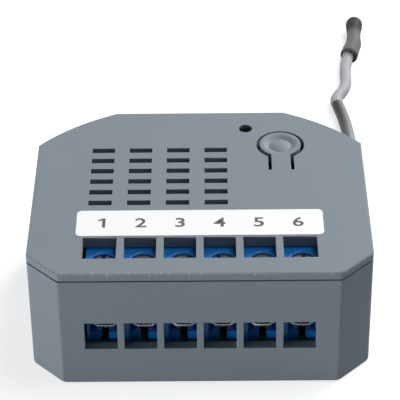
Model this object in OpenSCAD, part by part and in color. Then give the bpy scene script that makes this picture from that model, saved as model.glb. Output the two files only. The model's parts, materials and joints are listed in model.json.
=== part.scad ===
// Flush-mounted radio relay module: a snapped casing of base shell and cover, a six-pole screw
// terminal block, a circuit board with relay, supply and radio, a push tongue and a wire antenna.
// Millimetres. Origin at the centre of the casing's underside, +X right, +Y to the rear, +Z up.
// The wire windows face -Y.

/* [Casing] */
// Width of the casing across the terminal row
case_w = 43.4; // [41:0.1:50]
// Depth of the casing from the wire windows to the rear wall
case_d = 36.4; // [34:0.1:44]
// Thickness of the side walls
wall = 1.45; // [1.2:0.05:2]
// Thickness of the base's floor
floor_t = 1.6; // [1.2:0.1:2.5]
// Leg of the 45 degree chamfers on the front corners
front_chamfer = 4.1; // [3:0.1:5]
// Radius of the rounded-off rear corners
rear_arc_r = 28.4; // [27.5:0.1:32]
// Distance from the rear wall to the centre of the rear corner arcs
rear_arc_setback = 26; // [24:0.1:28]
// Height of the cover's rim above the parting line
cover_band = 1.05; // [0.8:0.05:1.3]
// Thickness of the cover plate
cover_t = 1.6; // [1.4:0.1:2.2]
// Bevel on the outer edges of the casing
edge_bevel = 0.2; // [0.1:0.05:0.4]
// Height of the shadow groove at the parting line
seam_h = 0.2; // [0.1:0.05:0.4]
// Depth of the shadow groove at the parting line
seam_depth = 0.3; // [0.1:0.05:0.5]
// Sliding clearance between assembled pieces
fit_gap = 0.1; // [0.05:0.05:0.2]
// Gap between pieces that rest on each other
seat_gap = 0.05; // [0.02:0.01:0.1]

/* [Windows, vents and label] */
// Width of a wire window in the front wall
wire_window_w = 4.14; // [3.6:0.02:4.3]
// Height of a wire window in the front wall
wire_window_h = 4.14; // [3.6:0.02:5]
// Height of the wire windows' sill above the board
sill_rise = 0.5; // [0.3:0.1:1]
// Width of a screw window in the cover
screw_window_w = 4.06; // [3.2:0.02:4.3]
// Depth of a screw window in the cover
screw_window_d = 4.3; // [3.4:0.1:4.8]
// Shift of the screw windows towards the rear, from the screws
screw_window_shift = 0.46; // [0:0.02:0.6]
// Extra width of the outermost screw windows, on their outer side
end_window_extra = 0.2; // [0:0.05:0.4]
// Width of a vent slot
vent_w = 3; // [2:0.1:4]
// Depth of a vent slot
vent_d = 1; // [0.6:0.1:1.5]
// Number of vent columns
vent_cols = 4; // [2:1:4]
// Number of vent rows
vent_rows = 6; // [3:1:6]
// Spacing of the vent columns
vent_pitch_x = 5; // [4.5:0.1:5.2]
// Spacing of the vent rows
vent_pitch_y = 2.4; // [2:0.1:2.6]
// Place of the first vent column, from the middle
vent_x = -12.9; // [-14:0.1:-11]
// Distance from the front wall to the first vent row
vent_setback = 15.15; // [14.5:0.05:17]
// Diameter of the status light's hole
led_hole_d = 1.8; // [1:0.1:2.5]
// Thickness of the cover's plate around the status light's hole
led_rim_t = 0.55; // [0.5:0.05:0.8]
// Place of the status light, from the middle
led_x = 6.2; // [5:0.1:7]
// Distance from the rear wall to the status light
led_setback = 4.1; // [3.6:0.1:5]
// Overhang of the label past each end of the terminal block
label_overhang = 0.95; // [0.5:0.05:2]
// Depth of the label
label_d = 5.4; // [4:0.1:5.6]
// Thickness of the label
label_t = 0.1; // [0.05:0.05:0.2]
// Corner radius of the label
label_r = 0.65; // [0.3:0.05:1.2]
// Distance from the front wall to the middle of the label
label_setback = 10.6; // [10:0.05:11]

/* [Push tongue] */
// Place of the push pad, from the middle
button_x = 10.8; // [9.5:0.1:11.5]
// Distance from the rear wall to the middle of the push pad
button_setback = 7.9; // [7.4:0.1:9]
// Radius of the push pad
button_r = 2.78; // [2.4:0.02:3]
// Width of the slot around the tongue
button_gap = 0.43; // [0.3:0.01:0.5]
// Shift of the slot's round end towards the front, from the pad
slot_shift = 0.2; // [0:0.02:0.22]
// Width of the tongue's neck
neck_w = 2.56; // [2:0.02:3.2]
// Distance from the middle of the pad to the tongue's root
neck_len = 5.9; // [5:0.1:6.5]
// Thickness of the thin film at the tongue's root
film_t = 0.6; // [0.4:0.05:0.8]
// Width of the relief groove under the film
relief_w = 1.2; // [0.8:0.1:1.6]
// Radius of the dish in the pad
dish_r = 2.25; // [1.8:0.05:2.3]
// Depth of the dish
dish_depth = 0.65; // [0.4:0.05:0.7]
// Radius of the low dome in the dish
dome_r = 1.5; // [1.2:0.05:1.6]
// Height of the dome above its edge in the dish
dome_h = 0.32; // [0.1:0.02:0.34]
// Diameter of the pusher under the pad
pusher_d = 2.4; // [1.6:0.1:3]

/* [Terminals] */
// Spacing of the terminals
pole_pitch = 5; // [4.8:0.02:5.4]
// Sideways shift of the terminal block from the windows
block_shift = 0.38; // [0:0.02:0.5]
// Depth of the terminal block
block_d = 7.65; // [7.4:0.05:8.4]
// Width of a wire funnel's mouth
mouth_w = 3.8; // [3.5:0.05:4.2]
// Wall of the block outside the outermost mouths
end_wall = 0.35; // [0.2:0.05:1]
// Thickness of the block's front wall
block_front_t = 1.35; // [1:0.05:1.5]
// Height of the wire ledge above the board
ledge_h = 1.5; // [1.2:0.05:1.8]
// Setback of the wire ledge from the block's front
ledge_setback = 0.65; // [0.4:0.05:0.8]
// Height of the wire funnel
funnel_h = 3.8; // [3:0.1:4.2]
// Width of the notch in the ledge
notch_w = 0.95; // [0.6:0.05:1.4]
// Diameter of the screwdriver bores
screw_bore_d = 3; // [2.9:0.05:3.4]
// Width of the bevel around each bore
bore_bevel = 0.2; // [0.1:0.05:0.3]
// Distance from the block's front to the screws
screw_setback = 3.45; // [3.3:0.05:3.7]
// Diameter of the clamp screws' heads
screw_head_d = 2.7; // [2.6:0.05:2.8]
// Height of the clamp screws' heads
screw_head_h = 1; // [0.8:0.1:1.2]
// Depth of the screw heads below the block's top
screw_sink = 0.25; // [0.2:0.05:0.7]
// Width of the screw slots
screw_slot_w = 0.5; // [0.4:0.05:0.7]
// Depth of the screw slots
screw_slot_h = 0.5; // [0.3:0.05:0.6]
// Angle from each screw's slot to the next one's
screw_slot_turn = 70; // [0:5:90]
// Running clearance of the screw's thread, on the radius
thread_gap = 0.05; // [0.02:0.01:0.08]
// Outer width of a clamp cage
cage_w = 3; // [2.9:0.05:3.3]
// Depth of a clamp cage
cage_d = 3.9; // [3.6:0.05:3.9]
// Sheet thickness of a clamp cage
cage_t = 0.35; // [0.25:0.05:0.4]
// Slanted corners at the bottom of a clamp cage
cage_corner = 0.5; // [0.3:0.05:0.6]
// Thickness of a cage's threaded top
nut_t = 1.5; // [1.2:0.1:1.6]
// Wire gap between the open cage's jaw and its contact bar
wire_gap = 2.6; // [2:0.1:2.7]
// Room between the contact bar and the cage's threaded top
cage_headroom = 0.55; // [0.4:0.05:0.6]
// Width of a contact bar
bar_w = 1.7; // [1.2:0.1:1.8]
// Thickness of a contact bar
bar_t = 0.6; // [0.4:0.05:0.7]
// Width of a contact's solder leg
leg_w = 1; // [0.7:0.05:1.2]

/* [Circuit board] */
// Height of the board above the floor
standoff_h = 1.9; // [1.6:0.1:3]
// Thickness of the board
board_t = 1.6; // [1:0.1:2]
// Gap around the board
board_gap = 0.25; // [0.15:0.05:0.5]
// Length of the solder pins below the board
pin_below = 1.2; // [0.6:0.1:1.4]
// Clearance around a pin in its hole, on the diameter
hole_gap = 0.3; // [0.2:0.05:0.5]
// Diameter of the base's locating pins
locator_d = 1.6; // [1.2:0.1:2]
// Diameter of the board standoffs and of the cover's posts
post_d = 3; // [2.6:0.1:3.4]
// Distance from the ends of the terminal block to the locating pins
post_offset = 2.6; // [2.4:0.05:2.8]

/* [Components] */
// Gap between neighbouring components
part_gap = 0.8; // [0.6:0.1:1]
// Room between the tallest component and the cover
headroom = 0.6; // [0.4:0.1:1.2]
// Left side of the relay
relay_x = -6.4; // [-6.6:0.1:-6]
// Width of the relay
relay_w = 10.2; // [10:0.1:10.6]
// Length of the relay
relay_l = 20; // [19.6:0.1:20.6]
// Height of the relay
relay_h = 10.2; // [9.8:0.1:11]
// Wall of the relay's case
relay_wall = 0.7; // [0.5:0.05:0.8]
// Thickness of the relay's base
relay_base_t = 1; // [0.8:0.1:1.2]
// Side of the relay bobbin's square flanges
flange_s = 7.6; // [7:0.1:7.7]
// Thickness of the relay bobbin's flanges
flange_t = 0.8; // [0.6:0.05:0.9]
// Length of the relay bobbin
bobbin_l = 9.8; // [9.4:0.1:10]
// Diameter of the relay's core
core_d = 3; // [2.6:0.1:3.4]
// Thickness of the relay's yoke
yoke_t = 0.8; // [0.6:0.05:0.8]
// Air gap between the core's head and the open armature
air_gap = 0.4; // [0.4:0.05:0.5]
// Thickness of the relay's armature
armature_t = 0.9; // [0.7:0.05:1]
// Thickness of the relay's contact blade
blade_t = 0.3; // [0.2:0.05:0.4]
// Diameter of the relay's contact buttons
contact_d = 1.8; // [1.4:0.1:2]
// Gap of the open make contact
contact_gap = 0.25; // [0.24:0.01:0.35]
// Left side of the transformer
trafo_x = -17; // [-17.2:0.1:-16.8]
// Width of the transformer
trafo_w = 9.6; // [9:0.1:9.8]
// Depth of the transformer
trafo_d = 8.6; // [8:0.1:9]
// Height of the transformer
trafo_h = 9.2; // [8.6:0.1:9.8]
// Diameter of the bulk capacitor
bulk_d = 6.3; // [5:0.1:6.3]
// Height of the bulk capacitor
bulk_h = 8.5; // [6:0.5:9.5]
// Diameter of the output capacitor
output_d = 5; // [4:0.1:5]
// Height of the output capacitor
output_h = 7; // [5:0.5:9]
// Diameter of the varistor's disc
varistor_d = 5.6; // [5:0.1:6]
// Thickness of the varistor's disc
varistor_t = 2.6; // [2:0.1:2.8]
// Diameter of the fuse resistor
fuse_d = 2.4; // [2:0.1:2.6]
// Length of the fuse resistor
fuse_l = 6.2; // [5:0.1:7]
// Width of the radio board
radio_w = 7.6; // [7:0.1:7.8]
// Depth of the radio board
radio_d = 12; // [10:0.1:12]
// Thickness of the radio board
radio_t = 0.8; // [0.6:0.1:1]
// Height of the shield can on the radio board
shield_h = 2; // [1.5:0.1:3]
// Side of the tact switch's square body
tact_s = 6; // [5:0.1:6]
// Height of the tact switch's body
tact_h = 3.5; // [3:0.1:4]
// Diameter of the tact switch's plunger
plunger_d = 3.5; // [2.5:0.1:3.5]
// Gap between the tongue's pusher and the plunger
pusher_gap = 0.1; // [0.05:0.05:0.2]
// Length of the tongue's pusher below the cover
pusher_l = 1.2; // [0.6:0.1:2]
// Diameter of the status light's lens
led_d = 3; // [2:0.1:3]
// Gap between the status light and the cover
led_gap = 0.5; // [0.3:0.1:1]

/* [Antenna] */
// Diameter of the antenna wire
wire_d = 1.8; // [1.4:0.1:1.9]
// Direction of the antenna's exit, turned from +X
exit_angle = 49; // [47:0.5:52]
// Clearance around the antenna in the wall, on the diameter
exit_gap = 0.2; // [0.1:0.05:0.4]
// Diameter of the end cap's open mouth
cap_mouth_d = 2.8; // [2.6:0.05:3]
// Wall of the end cap at its mouth
cap_wall = 0.12; // [0.1:0.02:0.16]
// Diameter of the end cap at its bend
cap_bend_d = 2.5; // [2.3:0.05:2.6]
// Diameter of the end cap's waist
cap_waist_d = 2.2; // [2:0.05:2.4]
// Diameter of the end cap's bulb
cap_bulb_d = 2.72; // [2.5:0.02:2.8]
// Length of the end cap from its mouth to its bend
cap_mouth_l = 3.9; // [3.6:0.1:5]
// Length of the end cap from its bend to its waist
cap_neck_l = 2.3; // [1.5:0.1:3]
// Length of the end cap from its waist to the middle of its bulb
cap_bulb_l = 3.6; // [2.5:0.1:5]
// Depth of the end cap's bore
cap_bore_l = 3.3; // [2.5:0.1:3.5]
// Direction of the end cap's mouth end, turned from +X
cap_turn = 75.5; // [72:0.5:80]
// Angle of the bend in the end cap
cap_bend = 10; // [0:1:20]

/* [Hidden] */
$fn = 64;
poles = 6;

// A little extra, so that cuts pass right through
cut = 1;

// Levels of the casing and the board
board_bottom = floor_t + standoff_h;
board_top = board_bottom + board_t;
pin_end = board_bottom - pin_below;
cover_bottom = board_top + relay_h + headroom;
case_h = cover_bottom + cover_t;
seam_z = case_h - cover_band;
sill_z = board_top + sill_rise;

// Lines of the casing in plan
front_y = -case_d / 2;
rear_y = case_d / 2;
inner_x = case_w / 2 - wall;
inner_rear_y = rear_y - wall;
rear_arc_y = rear_y - rear_arc_setback;
vent_y = front_y + vent_setback;

// Terminal block and its clamps
block_front = front_y + wall + fit_gap;
block_rear = block_front + block_d;
block_top = cover_bottom - seat_gap;
block_w = (poles - 1) * pole_pitch + mouth_w + 2 * end_wall;
screw_y = block_front + screw_setback;
ledge_z = board_top + ledge_h;
screw_d = cage_w - 2 * cage_t - 2 * thread_gap;
cavity_w = cage_w + 2 * fit_gap;
cavity_front = block_front + block_front_t;
cage_bottom = ledge_z + seat_gap;
bar_bottom = cage_bottom + cage_t + wire_gap;
bar_top = bar_bottom + bar_t;
cage_roof = bar_top + cage_headroom;
cage_top = cage_roof + nut_t;
head_top = block_top - screw_sink;
head_bottom = head_top - screw_head_h;
cavity_top = head_bottom - seat_gap;
leg_t = 0.5;
leg_gap = 0.35;
leg_front = screw_y + cage_d / 2 + leg_gap;
leg_rear = leg_front + leg_t;
cavity_rear = leg_rear + fit_gap;
bar_front = screw_y - cage_d / 2 + fit_gap;

// Locating pins beside the terminal block, and plain standoffs at the rear
locators = [for (s = [-1, 1]) [block_shift + s * (block_w / 2 + post_offset), screw_y]];
rest_x = 10.8;
rest_setback = 3.6;
rests = [for (s = [-1, 1]) [s * rest_x, rear_y - rest_setback]];
locator_rise = 1.2;
lip_x = 9.5;
lip_w = 3;
lip_d = 1.1;
lip_h = 1.2;

// Snap hooks of the cover and the pockets that they catch in
hook_ys = [-6, 4];
hook_w = 3;
hook_t = 1;
hook_l = 6.4;
hook_low = cover_bottom - hook_l;
barb_d = 0.5;
barb_h = 1.2;
pocket_depth = 0.7;

// Push tongue, tact switch and status light
button_y = rear_y - button_setback;
root_y = button_y - neck_len;
slot_r = button_gap / 2;
slot_x = neck_w / 2 + slot_r;
plunger_top = cover_bottom - pusher_l - pusher_gap;
tact_leg_w = 0.7;
led_y = rear_y - led_setback;
led_top = cover_bottom - led_gap;
led_body_l = 4.8;
led_bore_d = led_d + 4 * fit_gap;
led_lead_x = 1;
led_lead_w = 0.5;

// Relay
relay_y = block_rear + part_gap;
relay_mid = relay_x + relay_w / 2;
inside_z = board_top + relay_base_t;
coil_z = inside_z + flange_s / 2;
coil_setback = 2.6;
coil_y = relay_y + coil_setback;
coil_end = coil_y + bobbin_l;
tube_wall = 0.6;
flange_rim = 0.3;
winding_d = flange_s - 2 * flange_rim;
head_d = 4.6;
head_t = 0.6;
core_end = coil_end + seat_gap;
pole_face = core_end + head_t;
yoke_y = coil_y - yoke_t - seat_gap;
yoke_z = inside_z + flange_s + seat_gap;
yoke_w = 7;
armature_y = pole_face + air_gap;
armature_w = 6.6;
armature_top = yoke_z + yoke_t / 2;
armature_rise = 1.2;
armature_low = inside_z + armature_rise;
blade_w = 3;
blade_z = coil_z;
blade_l = 3.9;
contact_t = 0.35;
contact_reach = 2.8;
contact_y = armature_y + armature_t + contact_reach;
fixed_t = 0.4;
fixed_w = 2;
break_face = blade_z + blade_t / 2 + contact_t + seat_gap;
break_top = break_face + contact_t + fixed_t;
make_face = blade_z - blade_t / 2 - contact_t - contact_gap;
break_reach = 1.6;
break_y = contact_y + break_reach;
make_y = contact_y - contact_d / 2;
relay_pin_w = 0.8;
coil_pin_w = 0.6;
coil_pin_dx = 2.9;
coil_pins = [for (s = [-1, 1]) [relay_mid + s * coil_pin_dx, coil_y + flange_t / 2]];

// Transformer, standing behind the mains terminals
trafo_y = relay_y;
trafo_mid = [trafo_x + trafo_w / 2, trafo_y + trafo_d / 2];
trafo_core_d = 3;
trafo_rise = 1.2;
trafo_limb = 1.5;
trafo_leg_h = 2.4;
trafo_wall = 0.4;
trafo_z = board_top + (trafo_rise + trafo_h) / 2;
trafo_window_w = trafo_w - 2 * trafo_limb;
trafo_window_top = (trafo_h - trafo_rise) / 2 - trafo_limb;
trafo_pin_d = 0.4;
trafo_leg_half = trafo_leg_h / 2;
trafo_tube_y = trafo_core_d / 2 + seat_gap + trafo_wall;
trafo_tube_z = trafo_leg_half + seat_gap + trafo_wall;
trafo_flange_x = trafo_window_w / 2 - seat_gap;
trafo_flange_y = trafo_d / 2;
trafo_pin_y = (trafo_core_d / 2 + fit_gap + trafo_flange_y) / 2;
trafo_flange_z = trafo_window_top - seat_gap;
trafo_flange_t = 0.5;
trafo_pins = [for (sx = [-1, 1], sy = [-1, 1])
    [trafo_mid[0] + sx * (trafo_flange_x - trafo_flange_t / 2), trafo_mid[1] + sy * trafo_pin_y]];

// Capacitors, varistor and fuse resistor, standing on their leads
second_row_y = trafo_y + trafo_d + part_gap;
lead_d = 0.6;
bulk_pos = [relay_x - part_gap - bulk_d / 2, second_row_y + bulk_d / 2];
bulk_pitch = 2.5;
right_row_x = 15.4;
output_pos = [right_row_x, relay_y + output_d / 2];
output_pitch = 2;
varistor_pos = [trafo_x + varistor_t / 2, second_row_y + varistor_d / 2];
varistor_pitch = 3.4;
varistor_rise = 0.6;
fuse_step = [-2.2, 0.3];
fuse_pos = bulk_pos + fuse_step + [0, (bulk_d + fuse_d) / 2];
fuse_rise = 0.6;
fuse_pitch = 1.9;

// Chips and radio
chip_leg_w = 0.4;
rectifier_size = [3.4, 2.8, 2];
rectifier_step = [3.4, 1.4];
rectifier_pos = fuse_pos + rectifier_step;
controller_size = [4.9, 3.9, 1.5];
controller_step = 3.6;
controller_pos = [right_row_x, output_pos[1] + output_d / 2 + controller_step];
chip_leg_l = 0.8;
radio_pos = [relay_x + relay_w + part_gap, relay_y];
shield_inset = 0.5;
small_size = [1.6, 0.8, 0.5];
small_pitch = [2.2, 1.4];
small_step = 4;
small_pos = [right_row_x + small_pitch[0] / 2, controller_pos[1] + small_step];

// Antenna: feed on the board, then the free wire's route, chosen by hand
wire_r = wire_d / 2;
exit_dir = [cos(exit_angle), sin(exit_angle)];
feed_z = board_top + wire_r + seat_gap;
feed_in = 5.8;
feed_out = rear_arc_r - exit_gap;
exit_at = [feed_out * exit_dir[0], rear_arc_y + feed_out * exit_dir[1]];
table_gap = 0.05;
wire_low = wire_r + table_gap;
cap_low = max(cap_mouth_d, cap_bulb_d) / 2 + table_gap;
// Route in steps [x, y, share of the exit's height, share of the cap's height], from the exit
route_plan = [[0, 0, 1, 0], [1, 1.15, 1, 0], [1.95, 2.45, 0.95, 0], [2.7, 4, 0.86, 0],
    [3.25, 5.9, 0.71, 0], [3.65, 8.1, 0.52, 0], [3.85, 10.6, 0.32, 0], [3.95, 13.4, 0.14, 0],
    [3.95, 16.4, 0.04, 0], [3.9, 19.6, 0, 0], [3.75, 22.8, 0, 0], [3.5, 26, 0, 0], [3.1, 29.2, 0, 0],
    [2.6, 32, 0, 0], [2.45, 33.4, 0, 0], [2.9, 34.7, 0, 0], [3.65, 36.1, 0, 0], [4.15, 37.8, 0, 0],
    [4.3, 39.6, 0, 0], [4.35, 41.4, 0, 0], [4.55, 43.5, 0, 0.1], [4.99, 45.81, 0, 0.5],
    [5.94, 48.72, 0, 1]];
route = [for (p = route_plan) [exit_at[0] + p[0], exit_at[1] + p[1],
    wire_low + p[2] * (feed_z - wire_low) + p[3] * (cap_low - wire_low)]];
wire_sides = 8;
cap_bore_gap = 0.3;
cap_tip_gap = 0.3;
cap_bore_d = cap_mouth_d - 2 * cap_wall;
cap_end_d = wire_d + cap_bore_gap;
cap_flare = (cap_bore_d - cap_end_d) / cap_bore_l;

// Place of a terminal, counted from 0 at the left
function pole_x(i) = (i - (poles - 1) / 2) * pole_pitch;

function unit(v) = v / norm(v);

// Direction of the route at one of its points
function route_dir(i) = unit(route[min(i + 1, len(route) - 1)] - route[max(i - 1, 0)]);

// Ring of points around one of the route's points, square to its direction
function route_ring(i) =
    let (side = unit(cross(route_dir(i), [0, 0, 1])), up = cross(side, route_dir(i)))
    [for (k = [0:wire_sides - 1])
        let (a = 360 * (k + 0.5) / wire_sides) route[i] + wire_r * (cos(a) * side + sin(a) * up)];

// Solder pins of every component, as [x, y, diameter of the pin]
all_pins = concat(
    [for (i = [0:poles - 1]) [pole_x(i) + block_shift, (leg_front + leg_rear) / 2, norm([leg_w, leg_t])]],
    [for (p = coil_pins) [p[0], p[1], coil_pin_w * sqrt(2)]],
    [for (y = [yoke_y + yoke_t / 2, make_y + fixed_t / 2, break_y + fixed_t / 2])
        [relay_mid, y, norm([relay_pin_w, yoke_t])]],
    [for (p = trafo_pins) [p[0], p[1], trafo_pin_d]],
    [for (s = [-1, 1]) [bulk_pos[0] + s * bulk_pitch / 2, bulk_pos[1], lead_d]],
    [for (s = [-1, 1]) [output_pos[0], output_pos[1] + s * output_pitch / 2, lead_d]],
    [for (s = [-1, 1]) [varistor_pos[0], varistor_pos[1] + s * varistor_pitch / 2, lead_d]],
    [for (x = [0, fuse_pitch]) [fuse_pos[0] - x, fuse_pos[1], lead_d]],
    [for (sx = [-1, 1], sy = [-1, 1])
        [button_x + sx * (tact_s / 2 - tact_leg_w), button_y + sy * tact_s / 4, tact_leg_w]],
    [for (s = [-1, 1]) [led_x + s * led_lead_x, led_y, led_lead_w * sqrt(2)]]);

// Box between two corners
module box(low, high) {
    translate(low) cube(high - low);
}

// Upright cylinder between two levels
module post(at, d, low, high) {
    translate([at[0], at[1], low]) cylinder(d = d, h = high - low);
}

// Upright square pin between two levels
module square_pin(at, w, t, low, high) {
    translate([at[0] - w / 2, at[1] - t / 2, low]) cube([w, t, high - low]);
}

// Plan of the casing, moved inwards
module case_plan(inset) {
    half_w = case_w / 2 - inset;
    leg = front_chamfer - inset * (2 - sqrt(2));
    front = front_y + inset;
    intersection() {
        polygon([[leg - half_w, front], [half_w - leg, front], [half_w, front + leg],
            [half_w, rear_y - inset], [-half_w, rear_y - inset], [-half_w, front + leg]]);
        translate([0, rear_arc_y]) circle(r = rear_arc_r - inset, $fn = 128);
    }
}

// Solid of the casing's plan between two levels
module case_slab(inset, low, high) {
    translate([0, 0, low]) linear_extrude(high - low) case_plan(inset);
}

// Cutter for the bevel along the casing's outer edge at one level
module edge_cutter(level) {
    corner_x = (case_w - front_chamfer) / 2;
    corner_y = (front_chamfer - case_d) / 2;
    for (edge = [[0, case_w / 2, 0], [90, 0, rear_y], [180, -case_w / 2, 0], [270, 0, front_y],
            [-45, corner_x, corner_y], [-135, -corner_x, corner_y]])
        translate([edge[1], edge[2], level]) rotate([0, 45, edge[0]])
            cube([edge_bevel * sqrt(2), case_w + case_d, edge_bevel * sqrt(2)], center = true);
    translate([0, rear_arc_y, level]) rotate_extrude($fn = 128) translate([rear_arc_r, 0])
        rotate(45) square(edge_bevel * sqrt(2), center = true);
}

// Place along the antenna's exit, at a distance from the centre of the rear arcs
module at_exit(distance) {
    translate([distance * exit_dir[0], rear_arc_y + distance * exit_dir[1], feed_z])
        rotate([0, 0, exit_angle]) rotate([0, 90, 0]) children();
}

// Both mirrored sides
module both_sides() {
    children();
    mirror([1, 0, 0]) children();
}

module base_shell() color("#717a84") {
    difference() {
        case_slab(0, 0, seam_z);
        case_slab(wall, floor_t, seam_z + cut);
        // Shadow groove at the parting line
        difference() {
            case_slab(-cut, seam_z - seam_h, seam_z + cut);
            case_slab(seam_depth, seam_z - seam_h - cut, seam_z + 2 * cut);
        }
        edge_cutter(0);
        for (i = [0:poles - 1])
            box([pole_x(i) - wire_window_w / 2, front_y - cut, sill_z],
                [pole_x(i) + wire_window_w / 2, front_y + wall + cut, sill_z + wire_window_h]);
        at_exit(rear_arc_r - wall - cut) cylinder(d = wire_d + exit_gap, h = wall + 2 * cut);
        // Pockets for the cover's snap hooks
        both_sides() for (y = hook_ys)
            box([inner_x - cut, y - hook_w / 2 - fit_gap, hook_low - fit_gap],
                [inner_x + pocket_depth, y + hook_w / 2 + fit_gap, hook_low + barb_h + fit_gap]);
    }
    for (at = concat(locators, rests)) post(at, post_d, floor_t / 2, board_bottom);
    for (at = locators) post(at, locator_d, floor_t, board_top + locator_rise);
    // Lips that hold the rear edge of the board down
    both_sides() box([lip_x - lip_w / 2, inner_rear_y - lip_d, board_top + fit_gap],
        [lip_x + lip_w / 2, inner_rear_y + wall / 2, board_top + fit_gap + lip_h]);
}

// Plan of the tongue, grown on its free sides and with its round end shifted towards the front
module tongue_plan(grow, shift) {
    translate([button_x, button_y - shift]) circle(r = button_r + grow);
    translate([button_x - neck_w / 2 - grow, root_y]) square([neck_w + 2 * grow, neck_len]);
}

module top_cover() color("#8a9299") {
    difference() {
        union() {
            case_slab(0, seam_z, case_h);
            case_slab(wall + fit_gap, cover_bottom, seam_z + cover_band / 2);
        }
        edge_cutter(case_h);
        for (i = [0:poles - 1]) {
            left = screw_window_w / 2 + (i == 0 ? end_window_extra : 0);
            right = screw_window_w / 2 + (i == poles - 1 ? end_window_extra : 0);
            y = screw_y + screw_window_shift;
            box([pole_x(i) - left, y - screw_window_d / 2, cover_bottom - cut],
                [pole_x(i) + right, y + screw_window_d / 2, case_h + cut]);
        }
        for (c = [0:vent_cols - 1], r = [0:vent_rows - 1])
            translate([vent_x + c * vent_pitch_x, vent_y + r * vent_pitch_y, case_h - cover_t / 2])
                cube([vent_w, vent_d, cover_t + cut], center = true);
        post([led_x, led_y], led_hole_d, cover_bottom - cut, case_h + cut);
        post([led_x, led_y], led_bore_d, cover_bottom - cut, case_h - led_rim_t);
        // Keyhole slot around the push tongue, with round slot ends, and the relief groove at its root
        translate([0, 0, cover_bottom - cut]) linear_extrude(cover_t + 2 * cut) {
            tongue_plan(button_gap, slot_shift);
            for (s = [-1, 1]) translate([button_x + s * slot_x, root_y]) circle(r = slot_r);
        }
        box([button_x - neck_w / 2, root_y - relief_w / 2, cover_bottom - cut],
            [button_x + neck_w / 2, root_y + relief_w / 2, case_h - film_t]);
    }
    // Posts that press the board onto its standoffs
    for (at = locators) difference() {
        post(at, post_d, board_top, cover_bottom + film_t);
        post(at, locator_d + hole_gap, board_top - cut, board_top + locator_rise + hole_gap);
    }
    // Snap hooks with outward barbs
    both_sides() for (y = hook_ys) {
        box([inner_x - fit_gap - hook_t, y - hook_w / 2, hook_low],
            [inner_x - fit_gap, y + hook_w / 2, cover_bottom + film_t]);
        translate([inner_x - fit_gap, y + hook_w / 2, hook_low]) rotate([90, 0, 0])
            linear_extrude(hook_w)
                polygon([[-hook_t / 2, 0], [0, 0], [barb_d, barb_h], [-hook_t / 2, barb_h]]);
    }
}

module button_tongue() color("#8a9299") {
    dish_ball = (pow(dish_r, 2) + pow(dish_depth, 2)) / (2 * dish_depth);
    dome_ball = (pow(dome_r, 2) + pow(dome_h, 2)) / (2 * dome_h);
    dish_centre = case_h - dish_depth + dish_ball;
    dome_edge = dish_centre - sqrt(pow(dish_ball, 2) - pow(dome_r, 2));
    difference() {
        translate([0, 0, cover_bottom]) linear_extrude(cover_t) tongue_plan(0, 0);
        box([button_x - neck_w, root_y - cut, cover_bottom - cut],
            [button_x + neck_w, root_y + relief_w / 2, case_h - film_t]);
        translate([button_x, button_y, dish_centre]) sphere(r = dish_ball, $fn = 96);
    }
    intersection() {
        translate([button_x, button_y, dome_edge + dome_h - dome_ball]) sphere(r = dome_ball, $fn = 96);
        post([button_x, button_y], 2 * dish_r, cover_bottom + film_t, case_h);
    }
    post([button_x, button_y], pusher_d, cover_bottom - pusher_l, cover_bottom + film_t);
}

module terminal_label() color("white") {
    half_w = block_w / 2 + label_overhang - label_r;
    half_d = label_d / 2 - label_r;
    translate([0, front_y + label_setback, case_h]) linear_extrude(label_t) {
        square([2 * half_w, label_d], center = true);
        square([2 * (half_w + label_r), 2 * half_d], center = true);
        for (sx = [-1, 1], sy = [-1, 1]) translate([sx * half_w, sy * half_d]) circle(r = label_r);
    }
}

module circuit_board() color("#1f5a36") difference() {
    case_slab(wall + board_gap, board_bottom, board_top);
    for (p = all_pins) post(p, p[2] + hole_gap, board_bottom - cut, board_top + cut);
    for (at = locators) post(at, locator_d + hole_gap, board_bottom - cut, board_top + cut);
}

module terminal_block() color("#1a4d9c") difference() {
    box([block_shift - block_w / 2, block_front, board_top],
        [block_shift + block_w / 2, block_rear, block_top]);
    for (i = [0:poles - 1]) translate([pole_x(i) + block_shift, 0, 0]) {
        // Straight mouth down to the board in front of the ledge, and a funnel from it to the cage
        box([-mouth_w / 2, block_front - cut, board_top - cut],
            [mouth_w / 2, block_front + ledge_setback, ledge_z + funnel_h]);
        translate([0, 0, ledge_z]) linear_extrude(funnel_h)
            polygon([[-mouth_w / 2, block_front], [mouth_w / 2, block_front],
                [mouth_w / 2, block_front + ledge_setback], [cavity_w / 2, cavity_front],
                [-cavity_w / 2, cavity_front], [-mouth_w / 2, block_front + ledge_setback]]);
        // Cage cavity, screwdriver bore, and notch in the ledge that widens at the solder leg
        box([-cavity_w / 2, cavity_front, ledge_z], [cavity_w / 2, cavity_rear, cavity_top]);
        post([0, screw_y], screw_bore_d, cavity_top - cut, block_top + cut);
        translate([0, screw_y, block_top - bore_bevel])
            cylinder(d1 = screw_bore_d, d2 = screw_bore_d + 2 * (bore_bevel + cut), h = bore_bevel + cut);
        box([-notch_w / 2, block_front - cut, board_top - cut],
            [notch_w / 2, leg_rear, ledge_z + cut]);
        box([-leg_w / 2 - fit_gap, leg_front - fit_gap, board_top - cut],
            [leg_w / 2 + fit_gap, leg_rear + fit_gap, ledge_z + cut]);
    }
}

module terminal_contacts() color("silver")
    for (i = [0:poles - 1]) translate([pole_x(i) + block_shift, 0, 0]) {
        box([-bar_w / 2, bar_front, bar_bottom], [bar_w / 2, leg_rear, bar_top]);
        box([-leg_w / 2, leg_front, pin_end], [leg_w / 2, leg_rear, bar_top]);
    }

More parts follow.
